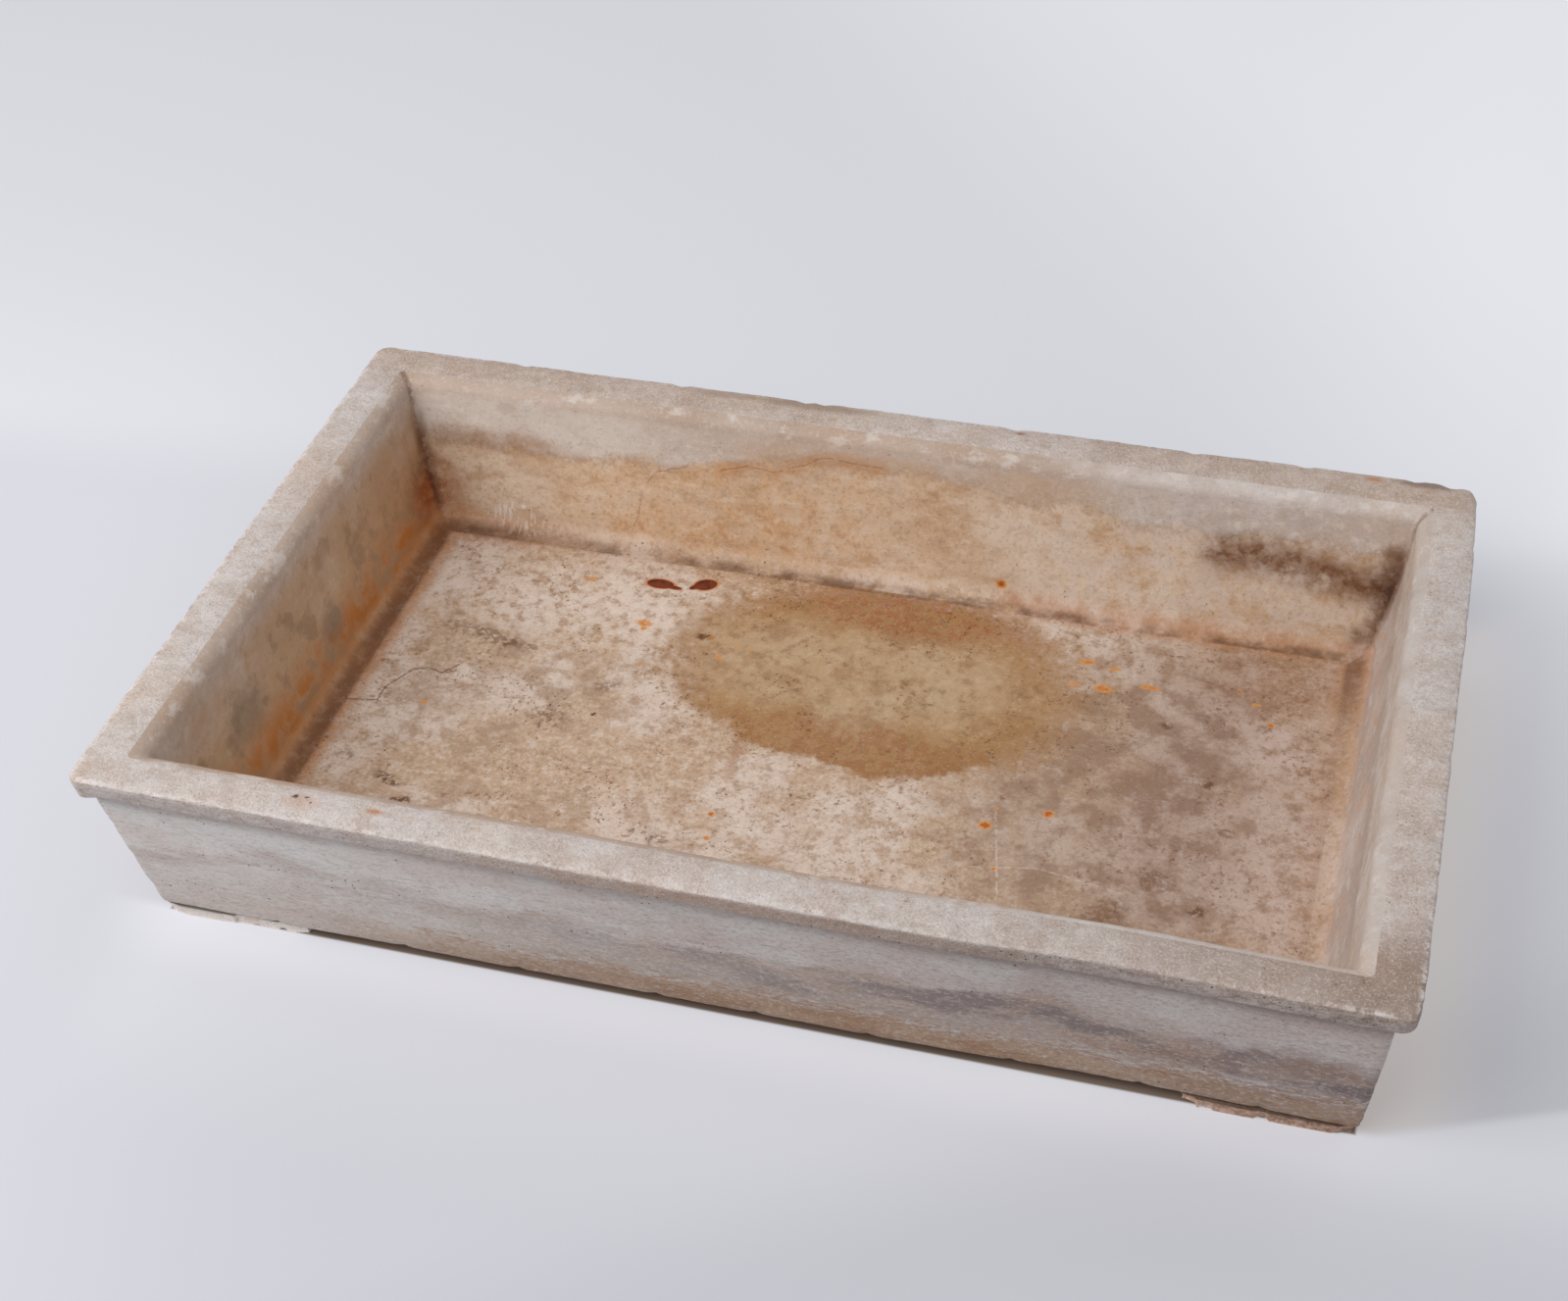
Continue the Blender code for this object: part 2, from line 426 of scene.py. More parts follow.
def weather_basin(basin):
    """Hand-cut unevenness, worn edges and the larger chips of the basin."""
    mark_worn(basin, "hand_cut", wall_unevenness)
    mark_worn(basin, "edge_wear", edge_wear)
    roughen(basin, "long_waves", 70 * mm, 1.2 * mm, "hand_cut", 0.5)
    roughen(basin, "tool_hollows", 14 * mm, 0.6 * mm, "hand_cut", 0.5)
    roughen(basin, "rubbed_edges", 9 * mm, 0.5 * mm, "edge_wear")
    roughen(basin, "edge_grit", 3.2 * mm, 0.8 * mm, "edge_wear")
    start_editing(basin)
    for *axes, push, reach in basin_chips:
        count = max(len(axis) if isinstance(axis, tuple) else 1 for axis in axes)
        axes = [axis if isinstance(axis, tuple) else (axis,) * count for axis in axes]
        places = [[value * mm for value in place] for place in zip(*axes)]
        press_in(basin, places, [value * mm for value in push], reach * mm)
    bpy.ops.object.mode_set(mode="OBJECT")
    bpy.ops.object.shade_smooth_by_angle(angle=basin_bend_limit)


# Chips, in millimetres: X, Y and Z of their places, which way the stone broke off, and how far each
# one reaches. A lone X, Y or Z goes for every place in its row
basin_chips = (
    # Back arris of the rim, seen against the backdrop
    ((-42, -52, 58, -118), 177, 97, (0, -0.7, -0.7), 6),
    ((150, 259, 205, -206), 177, 97, (0, -0.6, -0.6), 5),
    # Right side of the rim, which draws in towards the back, and the two flakes off its corner
    (290, 176, 95, (-2.0, 0, 0), 90),
    ((276, 284), (175, 171), 97, (-0.8, -1.6, -0.9), 8),
    # Front, which draws in a little near its right end
    (170, (-176, -158), (96, 7), (0, 1.7, 0), 105),
    # Front arris and the front right corner
    ((-250, -121, -20, 62, 171), -177, 96, (0, 0.5, -0.3), 4),
    ((288, 289, 284), (-165, -172, -177), (97, 96, 96), (-0.7, 0.4, -0.6), 4),
    # The rim's face hangs lower at the front left corner
    (-288, -174, 88.6, (0, 0, -2.2), 12),
    # Left and right arrises
    (-290, (-60, 22, 96, 141), 96, (0.5, 0, -0.3), 5),
    (290, (-96, -20, 71, 128), 96, (-0.5, 0, -0.3), 5),
    # Base edge
    ((-150, -96, -31, 15, 66), -158, 6, (0, 0.5, 0.6), 4),
    ((128, 182, 232, -214), -158, 6, (0, 0.6, 0.6), 3.5),
    ((-130, -20, 96, 214), 158, 6, (0, -0.7, 0.7), 6),
    (-271, (-40, 66), 6, (0.7, 0, 0.7), 5),
    (275, (-70, 48), 6, (-0.7, 0, 0.7), 5),
    # Upright corners of the body
    ((-283, -276, -272), (-166, -162, -158), (62, 38, 18), (0.4, 0.4, 0), 5),
    ((279, 277, 276), (-166, -162, -159), (60, 34, 14), (-0.4, 0.4, 0), 5),
    ((-279, 277), (166, 163), (56, 40), (0, -0.5, 0), 6),
)


def foot_wear(place, normal):
    """Every side of a foot is broken and worn, its bed least and its sole only at the edges."""
    if normal.z > 0.7:
        return 0.15
    return 0.3 if normal.z < -0.7 else 1


def split_foot(node):
    """A slip of stone: a block cut up fine, its corners knocked off and its sides left broken."""
    low, high = (Vector(corner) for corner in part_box(node))
    bpy.ops.object.select_all(action="DESELECT")
    bpy.ops.mesh.primitive_cube_add(size=1, location=(low + high) / 2)
    foot = bpy.context.active_object
    foot.name = foot.data.name = node.replace("foot", "slip")
    foot.scale = high - low
    bpy.ops.object.transform_apply(location=True, rotation=False, scale=True)
    start_editing(foot)
    for axis, number in enumerate(foot_cuts):
        def runs_along(edge):
            way = edge.verts[1].co - edge.verts[0].co
            return abs(way[axis]) > 0.6 * way.length
        select_only(foot, "edges", runs_along)
        bpy.ops.mesh.subdivide(number_cuts=number)
    right, back = low.x > 0, low.y > 0
    outer = Vector((high.x if right else low.x, high.y if back else low.y, 0))
    inner = Vector((low.x if right else high.x, low.y if back else high.y, 0))
    inward_x, inward_y = (-1 if right else 1), (-1 if back else 1)
    at_front_left = node == "foot_front_left"
    half_way = (low.z + high.z) / 2
    wear = front_left_corner_wear if at_front_left else foot_corner_wear
    press_in(foot, [(outer.x, outer.y, half_way)], (inward_x * wear, inward_y * wear, 0), 10 * mm)
    wear = foot_inner_corner_wear
    press_in(foot, [(inner.x, outer.y, half_way)], (-inward_x * wear, inward_y * wear, 0), 8 * mm)
    broken_off = front_left_corner_break if at_front_left else foot_corner_break
    push = (inward_x * broken_off, inward_y * foot_corner_drop, 0)
    press_in(foot, [(outer.x, outer.y, low.z)], push, 9 * mm)
    for along, width, height_share in foot_notches["right" if right else "left"]:
        middle = outer.x + inward_x * along * mm
        select_only(foot, "verts", lambda vert: abs(vert.co.x - middle) < width * mm / 2
                    and abs(vert.co.y - outer.y) < 5 * mm)
        bpy.ops.transform.resize(value=(1, 1, height_share), center_override=(middle, outer.y, high.z))
        bpy.ops.transform.translate(value=(0, inward_y * (1 - height_share) * 3 * mm, 0))
    if at_front_left:
        step_place = share_of(outer.x, inner.x, step_length_share)
        select_only(foot, "verts", lambda vert: vert.co.x > step_place)
        depth_share = 1 - step_back / (high.y - low.y)
        bpy.ops.transform.resize(value=(1, depth_share, 1), center_override=(step_place, high.y, 0))
    bpy.ops.mesh.select_all(action="SELECT")
    bpy.ops.mesh.normals_make_consistent(inside=False)
    bpy.ops.object.mode_set(mode="OBJECT")
    mark_worn(foot, "foot_wear", foot_wear)
    roughen(foot, "broken_sides_" + node, 11 * mm, 0.6 * mm, "foot_wear")
    roughen(foot, "grit_" + node, 2.4 * mm, 0.45 * mm, "foot_wear")
    bpy.ops.object.shade_smooth_by_angle(angle=foot_bend_limit)
    return foot


class Wire:
    """One output of a finish's nodes. Masks, heights and places are worked out on it as plain sums."""

    def __init__(self, tree, output):
        self.tree = tree
        self.output = output

    def node(self, kind, settings=None, inputs=None, result=0):
        """Adds a node, with its settings first, then its socket values or links; gives one output."""
        made = self.tree.nodes.new("ShaderNode" + kind)
        for name, value in (settings or {}).items():
            setattr(made, name, value)
        for socket, value in (inputs or {}).items():
            if isinstance(value, Wire):
                self.tree.links.new(value.output, made.inputs[socket])
            else:
                made.inputs[socket].default_value = value
        return Wire(self.tree, made.outputs[result])

    def sibling(self, name):
        """Another output of the same node."""
        return Wire(self.tree, self.output.node.outputs[name])

    def sum_up(self, operation, first, second):
        """A sum of two terms, number by number where this wire carries a place or a color."""
        if self.output.type in ("VECTOR", "RGBA"):
            terms = [(term,) * 3 if isinstance(term, (int, float)) else term for term in (first, second)]
            return self.node("VectorMath", {"operation": operation}, dict(enumerate(terms)))
        return self.node("Math", {"operation": operation}, {0: first, 1: second})

    def __add__(self, other):
        return self.sum_up("ADD", self, other)

    def __radd__(self, other):
        return self.sum_up("ADD", other, self)

    def __sub__(self, other):
        return self.sum_up("SUBTRACT", self, other)

    def __rsub__(self, other):
        return self.sum_up("SUBTRACT", other, self)

    def __mul__(self, other):
        return self.sum_up("MULTIPLY", self, other)

    def __rmul__(self, other):
        return self.sum_up("MULTIPLY", other, self)

    def __abs__(self):
        return self.node("Math", {"operation": "ABSOLUTE"}, {0: self})

    def least(self, other):
        return self.sum_up("MINIMUM", self, other)

    def most(self, other):
        return self.sum_up("MAXIMUM", self, other)

    def dot(self, way):
        return self.node("VectorMath", {"operation": "DOT_PRODUCT"}, {0: self, 1: tuple(way)}, "Value")

    def length(self):
        return self.node("VectorMath", {"operation": "LENGTH"}, {0: self}, "Value")

    def split(self):
        """The X, Y and Z of a place."""
        across = self.node("SeparateXYZ", inputs={0: self})
        return across, across.sibling("Y"), across.sibling("Z")

    def rise(self, start, end):
        """A soft step from 0 at the start to 1 at the end, which may also lie below the start."""
        steps = {"Value": self, "From Min": start, "From Max": end}
        return self.node("MapRange", {"interpolation_type": "SMOOTHSTEP"}, steps)

    def span(self, start, end):
        """The same soft step, from and to a place or distance in millimetres."""
        return self.rise(start * mm, end * mm)

    def over(self, under, color):
        """Lays a color over what lies under, where this mask is 1."""
        return self.node("Mix", {"data_type": "RGBA"}, {0: self, 6: under, 7: color}, 2)

    def tint(self, under, color):
        """Tints what lies under like a thin stain, where this mask is 1."""
        settings = {"data_type": "RGBA", "blend_type": "MULTIPLY"}
        return self.node("Mix", settings, {0: self, 6: under, 7: color}, 2)

    def coat(self, mask, *levels):
        """This color with paint of the given levels laid over it, where the mask is 1."""
        return mask.over(self, paint(*levels))

    def stain(self, mask, *levels):
        """This color with a thin stain of the given levels on it, where the mask is 1."""
        return mask.tint(self, paint(*levels))

    def dapple(self, *rows):
        """This color with a layer for each row: a noise, where on it the paint starts and where it is
        full, how strong it is, and its levels."""
        color = self
        for grain, start, full, strength, *levels in rows:
            color = color.coat(grain.rise(start, full) * strength, *levels)
        return color

    def two_tone(self, start, end, first, second):
        """A color that turns from the first paint into the second as this wire rises or falls."""
        return self.rise(start, end).over(paint(*first), paint(*second))


def paint(red, green, blue):
    """A color's levels on a screen, from 0 to 255, made linear."""
    def linear(level):
        level /= 255
        return level / 12.92 if level <= 0.04045 else ((level + 0.055) / 1.055) ** 2.4
    return linear(red), linear(green), linear(blue), 1


def clouds(place, size, detail=3, rough=0.55, seed=0, stretch=(1, 1, 1)):
    """Random patches of about the given size in millimetres, mostly between 0.3 and 0.7."""
    shift = (seed * 3.7, seed * 1.9, seed * 5.3)
    scale = [1 / (size * mm * part) for part in stretch]
    spread = place.node("Mapping", None, {"Vector": place, "Location": shift, "Scale": scale})
    settings = {"Vector": spread, "Scale": 1.0, "Detail": detail, "Roughness": rough}
    return place.node("TexNoise", None, settings)


def ragged(place, size, reach, seed=0):
    """The place moved about by up to the reach, so that what is drawn on it gets a ragged edge."""
    drift = clouds(place, size, 3, 0.6, seed).sibling("Color")
    along = drift.node("SeparateColor", None, {0: drift})
    parts = {0: along, 1: along.sibling("Green"), 2: along.sibling("Blue")}
    return place + (drift.node("CombineXYZ", None, parts) - 0.5) * (2 * reach * mm)


def pits(place, cell, share, reach=0.22, seed=0):
    """Small round specks of unlike sizes, in the given share of cells so many millimetres wide."""
    shift = (seed * 5.1, seed * 2.3, seed * 3.9)
    scale = (1 / (cell * mm),) * 3
    spread = place.node("Mapping", None, {"Vector": place, "Location": shift, "Scale": scale})
    near = place.node("TexVoronoi", None, {"Vector": spread, "Scale": 1.0}, "Distance")
    draw = near.node("SeparateColor", None, {0: near.sibling("Color")})
    radius = reach * (draw.sibling("Green") * 0.8 + 0.3)
    return near.rise(radius, radius * 0.55) * draw.rise(share, share - 0.03)


def patch(place, middle, reach, turn=0.0):
    """How far a place lies from a patch's middle, 1 at its edge, in millimetres; a reach of 0 means that
    the patch goes on without end that way."""
    offset = place - [value * mm for value in middle]
    scale = [1 / (value * mm) if value else 0 for value in reach]
    if not turn:
        return (offset * scale).length()
    ahead = Vector((math.cos(math.radians(turn)), math.sin(math.radians(turn)), 0))
    aside = Vector((-ahead.y, ahead.x, 0))
    ways = (ahead * scale[0], aside * scale[1], Vector((0, 0, scale[2])))
    return place.node("CombineXYZ", None, {axis: offset.dot(way) for axis, way in enumerate(ways)}).length()


def floor_patch(place, x, y, reach_x, reach_y, turn=0.0):
    """The same for a small patch on the floor inside, which doesn't reach far up."""
    return patch(place, (x, y, floor_level / mm), (reach_x, reach_y, small_patch_height), turn)


def from_line(place, start, end):
    """How far a place lies from a straight line between two ends, which are in millimetres."""
    start, way = Vector(start) * mm, (Vector(end) - Vector(start)) * mm
    offset = place - tuple(start)
    clamped = {"operation": "MULTIPLY", "use_clamp": True}
    share = offset.node("Math", clamped, {0: offset.dot(way), 1: 1 / way.length_squared})
    foot = place.node("VectorMath", {"operation": "SCALE"}, {0: tuple(way), "Scale": share})
    return (offset - foot).length()


def from_path(place, points):
    """How far a place lies from a path through points, which are in millimetres."""
    return reduce(Wire.least, (from_line(place, *ends) for ends in zip(points, points[1:])))


def new_finish(name):
    """An empty stone finish: its material, and the place on the piece as a wire."""
    material = bpy.data.materials.new(name)
    material.use_nodes = True
    tree = material.node_tree
    return material, Wire(tree, tree.nodes.new("ShaderNodeTexCoord").outputs["Object"])


def polish(material, color, roughness, height, depth, sheen=0.35):
    """Puts color, roughness and relief on the finish's shader; depth is the relief's height in metres."""
    shader = material.node_tree.nodes["Principled BSDF"]
    relief = color.node("Bump", None, {"Strength": 1.0, "Distance": depth, "Height": height}, "Normal")
    links = material.node_tree.links
    links.new(color.output, shader.inputs["Base Color"])
    links.new(roughness.output, shader.inputs["Roughness"])
    links.new(relief.output, shader.inputs["Normal"])
    shader.inputs["Specular IOR Level"].default_value = sheen
    return material


def outer_marble():
    """Smooth pale grey above, a wavy edge to a mauve-brown band, a line of rust, and a tan foot."""
    material, place = new_finish("outer_marble")
    x, _, z = place.split()
    wobble = clouds(place, 60, 3, 0.5, seed=11, stretch=(1, 1, 30))
    soft = clouds(place, 15, 4, 0.6, seed=13, stretch=(2.6, 2.6, 0.7))
    streaks = clouds(place, 3.0, 4, 0.75, seed=14, stretch=(3.0, 3.0, 0.6))
    grains = clouds(place, 1.5, 3, 0.8, seed=15, stretch=(1.7, 1.7, 0.9))
    mottle = clouds(place, 34, 4, 0.6, seed=16, stretch=(1.5, 1.5, 0.8))
    frayed = clouds(place, 9, 4, 0.7, seed=12, stretch=(1.4, 1.4, 1))
    level = z + (wobble - 0.5) * (46 * mm) + (frayed - 0.5) * (14 * mm) + (streaks - 0.5) * (5 * mm)
    rightward = x.span(-250, 170)

    grey = mottle.two_tone(0.4, 0.6, (224, 212, 203), (229, 225, 218))
    grey = grey.coat(soft.rise(0.5, 0.64) * 0.5, 206, 191, 181)
    # Painted shade: the grey is stained darker towards the right end
    grey = grey.stain(rightward * 0.7, 215, 206, 204)
    smudge = level.span(60, 50) * level.span(32, 44) * soft.rise(0.36, 0.52)
    color = (smudge * 0.5).over(grey, paint(190, 171, 160))
    band = level.span(50, 46) * (rightward * 0.9 + 0.05)
    mauve = soft.two_tone(0.4, 0.58, (138, 123, 118), (186, 164, 150))
    mauve = mauve.coat(mottle.rise(0.5, 0.62) * 0.6, 176, 144, 122)
    color = band.over(color, mauve)
    lower = level.span(34, 25) * (rightward * 0.5 + 0.25)
    color = color.coat(lower * soft.rise(0.62, 0.42), 198, 180, 169)

    low = z + (clouds(place, 40, 2, 0.5, seed=17, stretch=(1, 1, 30)) - 0.5) * (12 * mm)
    low = low + (streaks - 0.5) * (6 * mm) + (frayed - 0.5) * (8 * mm)
    tan_reach = x.span(-215, -120) * 0.55 + rightward * 0.4 + 0.05
    tan = soft.two_tone(0.4, 0.62, (174, 138, 108), (193, 165, 141))
    color = (low.span(24, 17) * tan_reach).over(color, tan)
    line = low.span(28, 24) * low.span(18, 22) * x.span(-200, -140)
    color = color.coat(line * streaks.rise(0.5, 0.58) * 0.75, 184, 140, 108)
    low_middle = low.span(34, 22) * x.span(-150, -60) * x.span(190, 60)
    color = color.stain(low_middle, 243, 236, 228)
    # Painted shade: the band and the foot are stained darker towards the right end
    far_right = x.span(90, 280) * level.span(58, 48)
    color = color.stain(far_right * 0.8, 220, 215, 218)
    crumbs = (line * streaks.rise(0.5, 0.42) * 0.8).most(streaks.rise(0.6, 0.66) * low.span(54, 24))
    color = color.coat(crumbs * 0.85, 226, 217, 209)
    color = color.dapple(
        (streaks, 0.46, 0.36, 0.3, 144, 130, 122),
        (grains, 0.53, 0.63, 0.34, 230, 224, 219),
    )
    color = color.coat(grains.rise(0.47, 0.37) * (rightward * 0.12 + 0.22), 122, 106, 98)
    specks = pits(place, 3.6, 0.3, 0.15, seed=21)
    color = color.coat(specks * 0.8, 92, 76, 66)

    cove_shade = z.rise(rim_level - 25.5 * mm, rim_level - 13 * mm) * (x.span(40, 170) * 0.3 + 0.62)
    color = color.stain(cove_shade, 160, 146, 142)
    underside = z.rise(base_level + 0.5 * mm, base_level + 0.1 * mm)
    color = underside.over(color, soft.two_tone(0.4, 0.6, (112, 94, 80), (134, 116, 100)))
    height = grains * 0.5 + streaks * 0.4 - specks * 0.8 + crumbs * 0.2
    roughness = level.span(60, 30) * 0.14 + 0.5
    return polish(material, color, roughness, height, 0.7 * mm)


def pale_stone(place):
    """The marble's own pale body, which shows on the rim, on the lip and high on the inner walls."""
    blotches = clouds(place, 26, 4, 0.6, seed=1)
    color = blotches.two_tone(0.36, 0.6, (188, 173, 162), (200, 189, 182))
    return color.coat(clouds(place, 90, 2, seed=5).rise(0.5, 0.68), 196, 178, 164)


# Small marks on the rim, in millimetres: middle, reach, color and strength
rim_marks = (
    ((-148, -163.5, 97.5), (4.2, 1.8, 3), (184, 118, 58), 0.8),
    ((-181.5, -165, 97.5), (10, 6, 3), (190, 150, 124), 0.45),
    ((-185.6, -162.5, 97.5), (1.5, 1.1, 3), (58, 44, 38), 0.95),
    ((-180, -162, 97.5), (1.1, 0.9, 3), (80, 58, 46), 0.9),
    ((-177, -165, 97.5), (1.0, 0.8, 3), (92, 66, 50), 0.9),
    ((238, 171.5, 97.5), (5, 2.4, 3), (186, 122, 72), 0.7),
    ((262, 173, 97), (15, 4, 4), (132, 112, 96), 0.8),
    ((-46, 172, 97.5), (34, 5, 4), (148, 124, 104), 0.7),
    ((-92, 172, 97.5), (16, 4, 4), (158, 134, 116), 0.6),
    ((62, 171, 97.5), (3, 1.6, 3), (150, 100, 78), 0.8),
)


def rim_marble():
    """Granular pale stone: white grains, tan patches, tiny dark pits, and a bruised whiter arris."""
    material, place = new_finish("rim_marble")
    x, y, z = place.split()
    edge = (rim_length / 2 - abs(x)).least(rim_width / 2 - abs(y))
    grains = clouds(place, 1.1, 2, 0.7, seed=2)
    crumbs = clouds(place, 3.4, 5, 0.72, seed=3, stretch=(1.6, 1.3, 1))
    patches = clouds(place, 14, 4, 0.62, seed=9, stretch=(1.5, 1.5, 1))

    color = pale_stone(place)
    color = color.dapple(
        (patches, 0.5, 0.62, 0.5, 188, 169, 156),
        (patches, 0.47, 0.38, 0.4, 212, 203, 198),
        (crumbs, 0.5, 0.66, 0.4, 222, 213, 208),
        (crumbs, 0.48, 0.34, 0.4, 166, 148, 136),
    )
    dingy = y.span(148, 162) * (abs(x - 25 * mm).span(30, 110) * 0.7 + 0.3)
    color = color.stain(dingy, 240, 229, 219)
    # Towards its right end the rim is stained darker: partly browner stone, partly painted shade
    right_side = x.span(250, 270) * y.span(120, -140)
    color = color.stain(right_side * 0.3, 236, 228, 222)
    browned_shaded_end = x.span(60, 250) * y.span(-120, -150)
    color = color.stain(browned_shaded_end, 220, 211, 204)
    far_corner = x.span(215, 280) * y.span(-110, -150)
    color = color.stain(far_corner * 0.5, 226, 218, 210)

    arris = edge.span(3.8, 1.0) * z.rise(rim_level - 1.8 * mm, rim_level - 0.9 * mm)
    bruised = arris * crumbs.rise(0.43, 0.56) * (patches.rise(0.4, 0.56) * 0.6 + 0.3)
    color = color.coat(bruised * (abs(x).span(190, 265) * 0.3 + 0.6), 224, 215, 210)
    face = z.rise(rim_level - 1.4 * mm, rim_level - 3.0 * mm) * edge.span(8, 5)
    color = color.stain(face * (x.span(-60, 160) * 0.4 + 0.1), 204, 190, 182)
    color = color.stain(face * x.span(-160, 0) * x.span(170, 60), 240, 226, 214)
    chalky = face * crumbs.rise(0.36, 0.6) * abs(x).span(60, 230)
    color = color.coat(chalky * 0.45, 216, 206, 200)
    color = color.dapple(
        (grains, 0.52, 0.66, 0.3, 230, 222, 217),
        (grains, 0.48, 0.34, 0.3, 140, 123, 112),
    )
    rows = clouds(place, 9, 3, 0.6, seed=7, stretch=(3, 3, 0.6))
    speckled = rows.rise(0.44, 0.54) * face * 1.2 + patches.rise(0.48, 0.6) * 0.4
    specks = pits(place, 2.0, 0.5, 0.26, seed=4) * speckled
    color = color.coat(specks * 0.85, 92, 76, 65)

    marks_place = ragged(place, 3, 1.6, seed=8)
    for middle, reach, tone, strength in rim_marks:
        mark = patch(marks_place, middle, reach).rise(1.3, 0.4) * strength
        color = mark.over(color, paint(*tone))
    height = grains * 0.6 + crumbs * 0.8 - specks
    return polish(material, color, crumbs * 0.1 + 0.6, height, 0.9 * mm)


# How far up a small mark on the floor reaches, in millimetres
small_patch_height = 4

# Where the rust sits on the floor, in millimetres: X and Y of its middle, reach along each, strength
rust_spots = (
    (89, -29, 3.5, 3.1, 1.0),
    (116, -15, 3.0, 2.6, 0.95),
    (92, -16.5, 1.4, 1.2, 0.7),
    (99, -56, 1.8, 1.6, 0.8),
    (-37, -52, 2.0, 1.7, 0.9),
    (-34.5, -68, 1.7, 1.4, 0.85),
    (-112, 75.5, 5.2, 3.8, 0.65),
    (-111, 71, 2.6, 1.6, 0.6),
    (-67, 58, 2.4, 1.8, 0.7),
    (-104, 44, 1.6, 1.2, 0.6),
    (-151, 103, 4.4, 4.4, 0.4),
    (-200, -9, 2.6, 1.8, 0.5),
    (114, 97, 5.0, 2.4, 0.7),
    (128, 95, 4.0, 2.0, 0.6),
    (125, 79, 6.0, 3.4, 0.75),
    (110, 79, 3.4, 2.2, 0.6),
    (147, 85, 5.4, 2.4, 0.7),
    (208, 71, 2.4, 2.0, 0.8),
    (199, 84, 3.0, 1.6, 0.5),
    (190, 92, 2.0, 2.4, 0.4),
)

# Dark grime and grey growth on the floor: the same, with the turn in degrees before the strength
grime_spots = (
    (-78, 71.5, 4.6, 3.0, 0, 0.9),
    (-194, -66, 7, 3.6, -20, 0.7),
    (-184, -78, 6, 3.0, 10, 0.7),
    (-200, -64, 4, 3.0, 0, 0.6),
    (-56.5, -74, 6, 3.0, 0, 0.5),
    (-203, 50, 12, 5, -10, 0.35),
    (-184, 47, 22, 6, -15, 0.45),
    (-174, 44.5, 6, 3, 30, 0.6),
    (-163, 43, 5, 3, 0, 0.5),
    (-223, -55, 6, 4, 0, 0.35),
    (-135, -4, 10, 7, 0, 0.4),
    (-114, 23.5, 8, 5, 20, 0.4),
    (-114, 2, 2, 1.6, 0, 0.8),
    (159, 59, 3.4, 2.8, 0, 0.6),
    (184, 22, 4, 3.2, 0, 0.6),
    (206, 67, 4, 3, 0, 0.3),
    (197, -8, 5, 4, 0, 0.4),
    (172, -47, 10, 8, 0, 0.35),
    (192, -61, 5, 3.4, 0, 0.65),
    (215, -10, 4, 3, 0, 0.35),
    (152, -74, 16, 9, 60, 0.35),
)

# The two dried drops, each a round body and a pointed tail: middle, reaches and turn
dried_drops = (
    (-114, 108, 7.4, 3.8, 0),
    (-106.4, 106.6, 4.6, 1.5, -4),
    (-90.6, 112.4, 6.2, 4.4, 25),
    (-95.4, 109.4, 3.2, 1.7, 40),
)

# Pale scratches on the floor: start and end. In these and in all paths below, the number that doesn't
# count for the floor or the wall is 0
floor_scratches = (
    ((92, -19, 0), (104, -74, 0)),
    ((87, -57.5, 0), (118, -51, 0)),
    ((118, -51, 0), (158, -58, 0)),
    ((-54, -35.5, 0), (-33, -9, 0)),
    ((22, -32, 0), (5, -75, 0)),
    ((-8, -84, 0), (22, -60, 0)),
)

floor_crack = (
    (-239, -16, 0), (-223, -13, 0), (-223, -3, 0), (-214.5, 13, 0), (-207, 16, 0), (-199, 14, 0),
    (-193, 22, 0),
)

# The crack that climbs the back wall, and the one that runs along under its lip
wall_cracks = (
    ((-140, 0, 23), (-135, 0, 35), (-133.5, 0, 50), (-125, 0, 60), (-108, 0, 66)),
    ((-90, 0, 66), (-75, 0, 71), (-68, 0, 70), (-60, 0, 69), (-53, 0, 73), (-44, 0, 76), (-38, 0, 80),
     (-31, 0, 82), (-20, 0, 80.5), (-4, 0, 80)),
)

# The dark smear under the back wall's lip at the right, which runs on down the corner
wall_smear = ((170, 0, 59), (186, 0, 61), (200, 0, 59), (220, 0, 56), (247, 0, 52))
corner_smear = ((253, 0, 70), (250, 0, 31), (242, 0, 23))


InnerPlaces = namedtuple("InnerPlaces", "corner_line mitre foot_line back front left right")


def inner_places(place):
    """Distances from the valleys, the mitres and the floor's edge, and a mask for each inner wall."""
    x, y, z = place.split()
    wall_top_inset = arris_round + rim_flat_width + lip_width
    wall_foot_inset = wall_top_inset + inner_wall_lean + inner_wall_sweep
    wall_foot_level = floor_level + floor_cove_round
    wall_lean = (wall_foot_inset - wall_top_inset) / (rim_level - lip_depth - wall_foot_level)
    wall_inset = wall_foot_inset - (z - wall_foot_level) * wall_lean
    from_ends = rim_length / 2 - abs(x) - wall_inset
    from_sides = rim_width / 2 - abs(y) - wall_inset
    foot_line = ((z - floor_level) * 0.5).most((from_ends.least(from_sides) - floor_cove_round) * 0.6)
    on_end = (from_sides - from_ends).span(-1, 1)
    on_side = 1 - on_end
    to_back = y.span(-1, 1)
    to_right = x.span(-1, 1)
    mitre = abs(from_ends - from_sides)
    return InnerPlaces(from_ends.most(from_sides), mitre, foot_line, on_side * to_back,
                       on_side * (1 - to_back), on_end * (1 - to_right), on_end * to_right)


def inner_noises(place):
    """Noises of three sizes that run on from the inner walls onto the floor."""
    return (clouds(place, 15, 5, 0.62, seed=32), clouds(place, 6, 5, 0.68, seed=33),
            clouds(place, 1.5, 3, 0.65, seed=34))


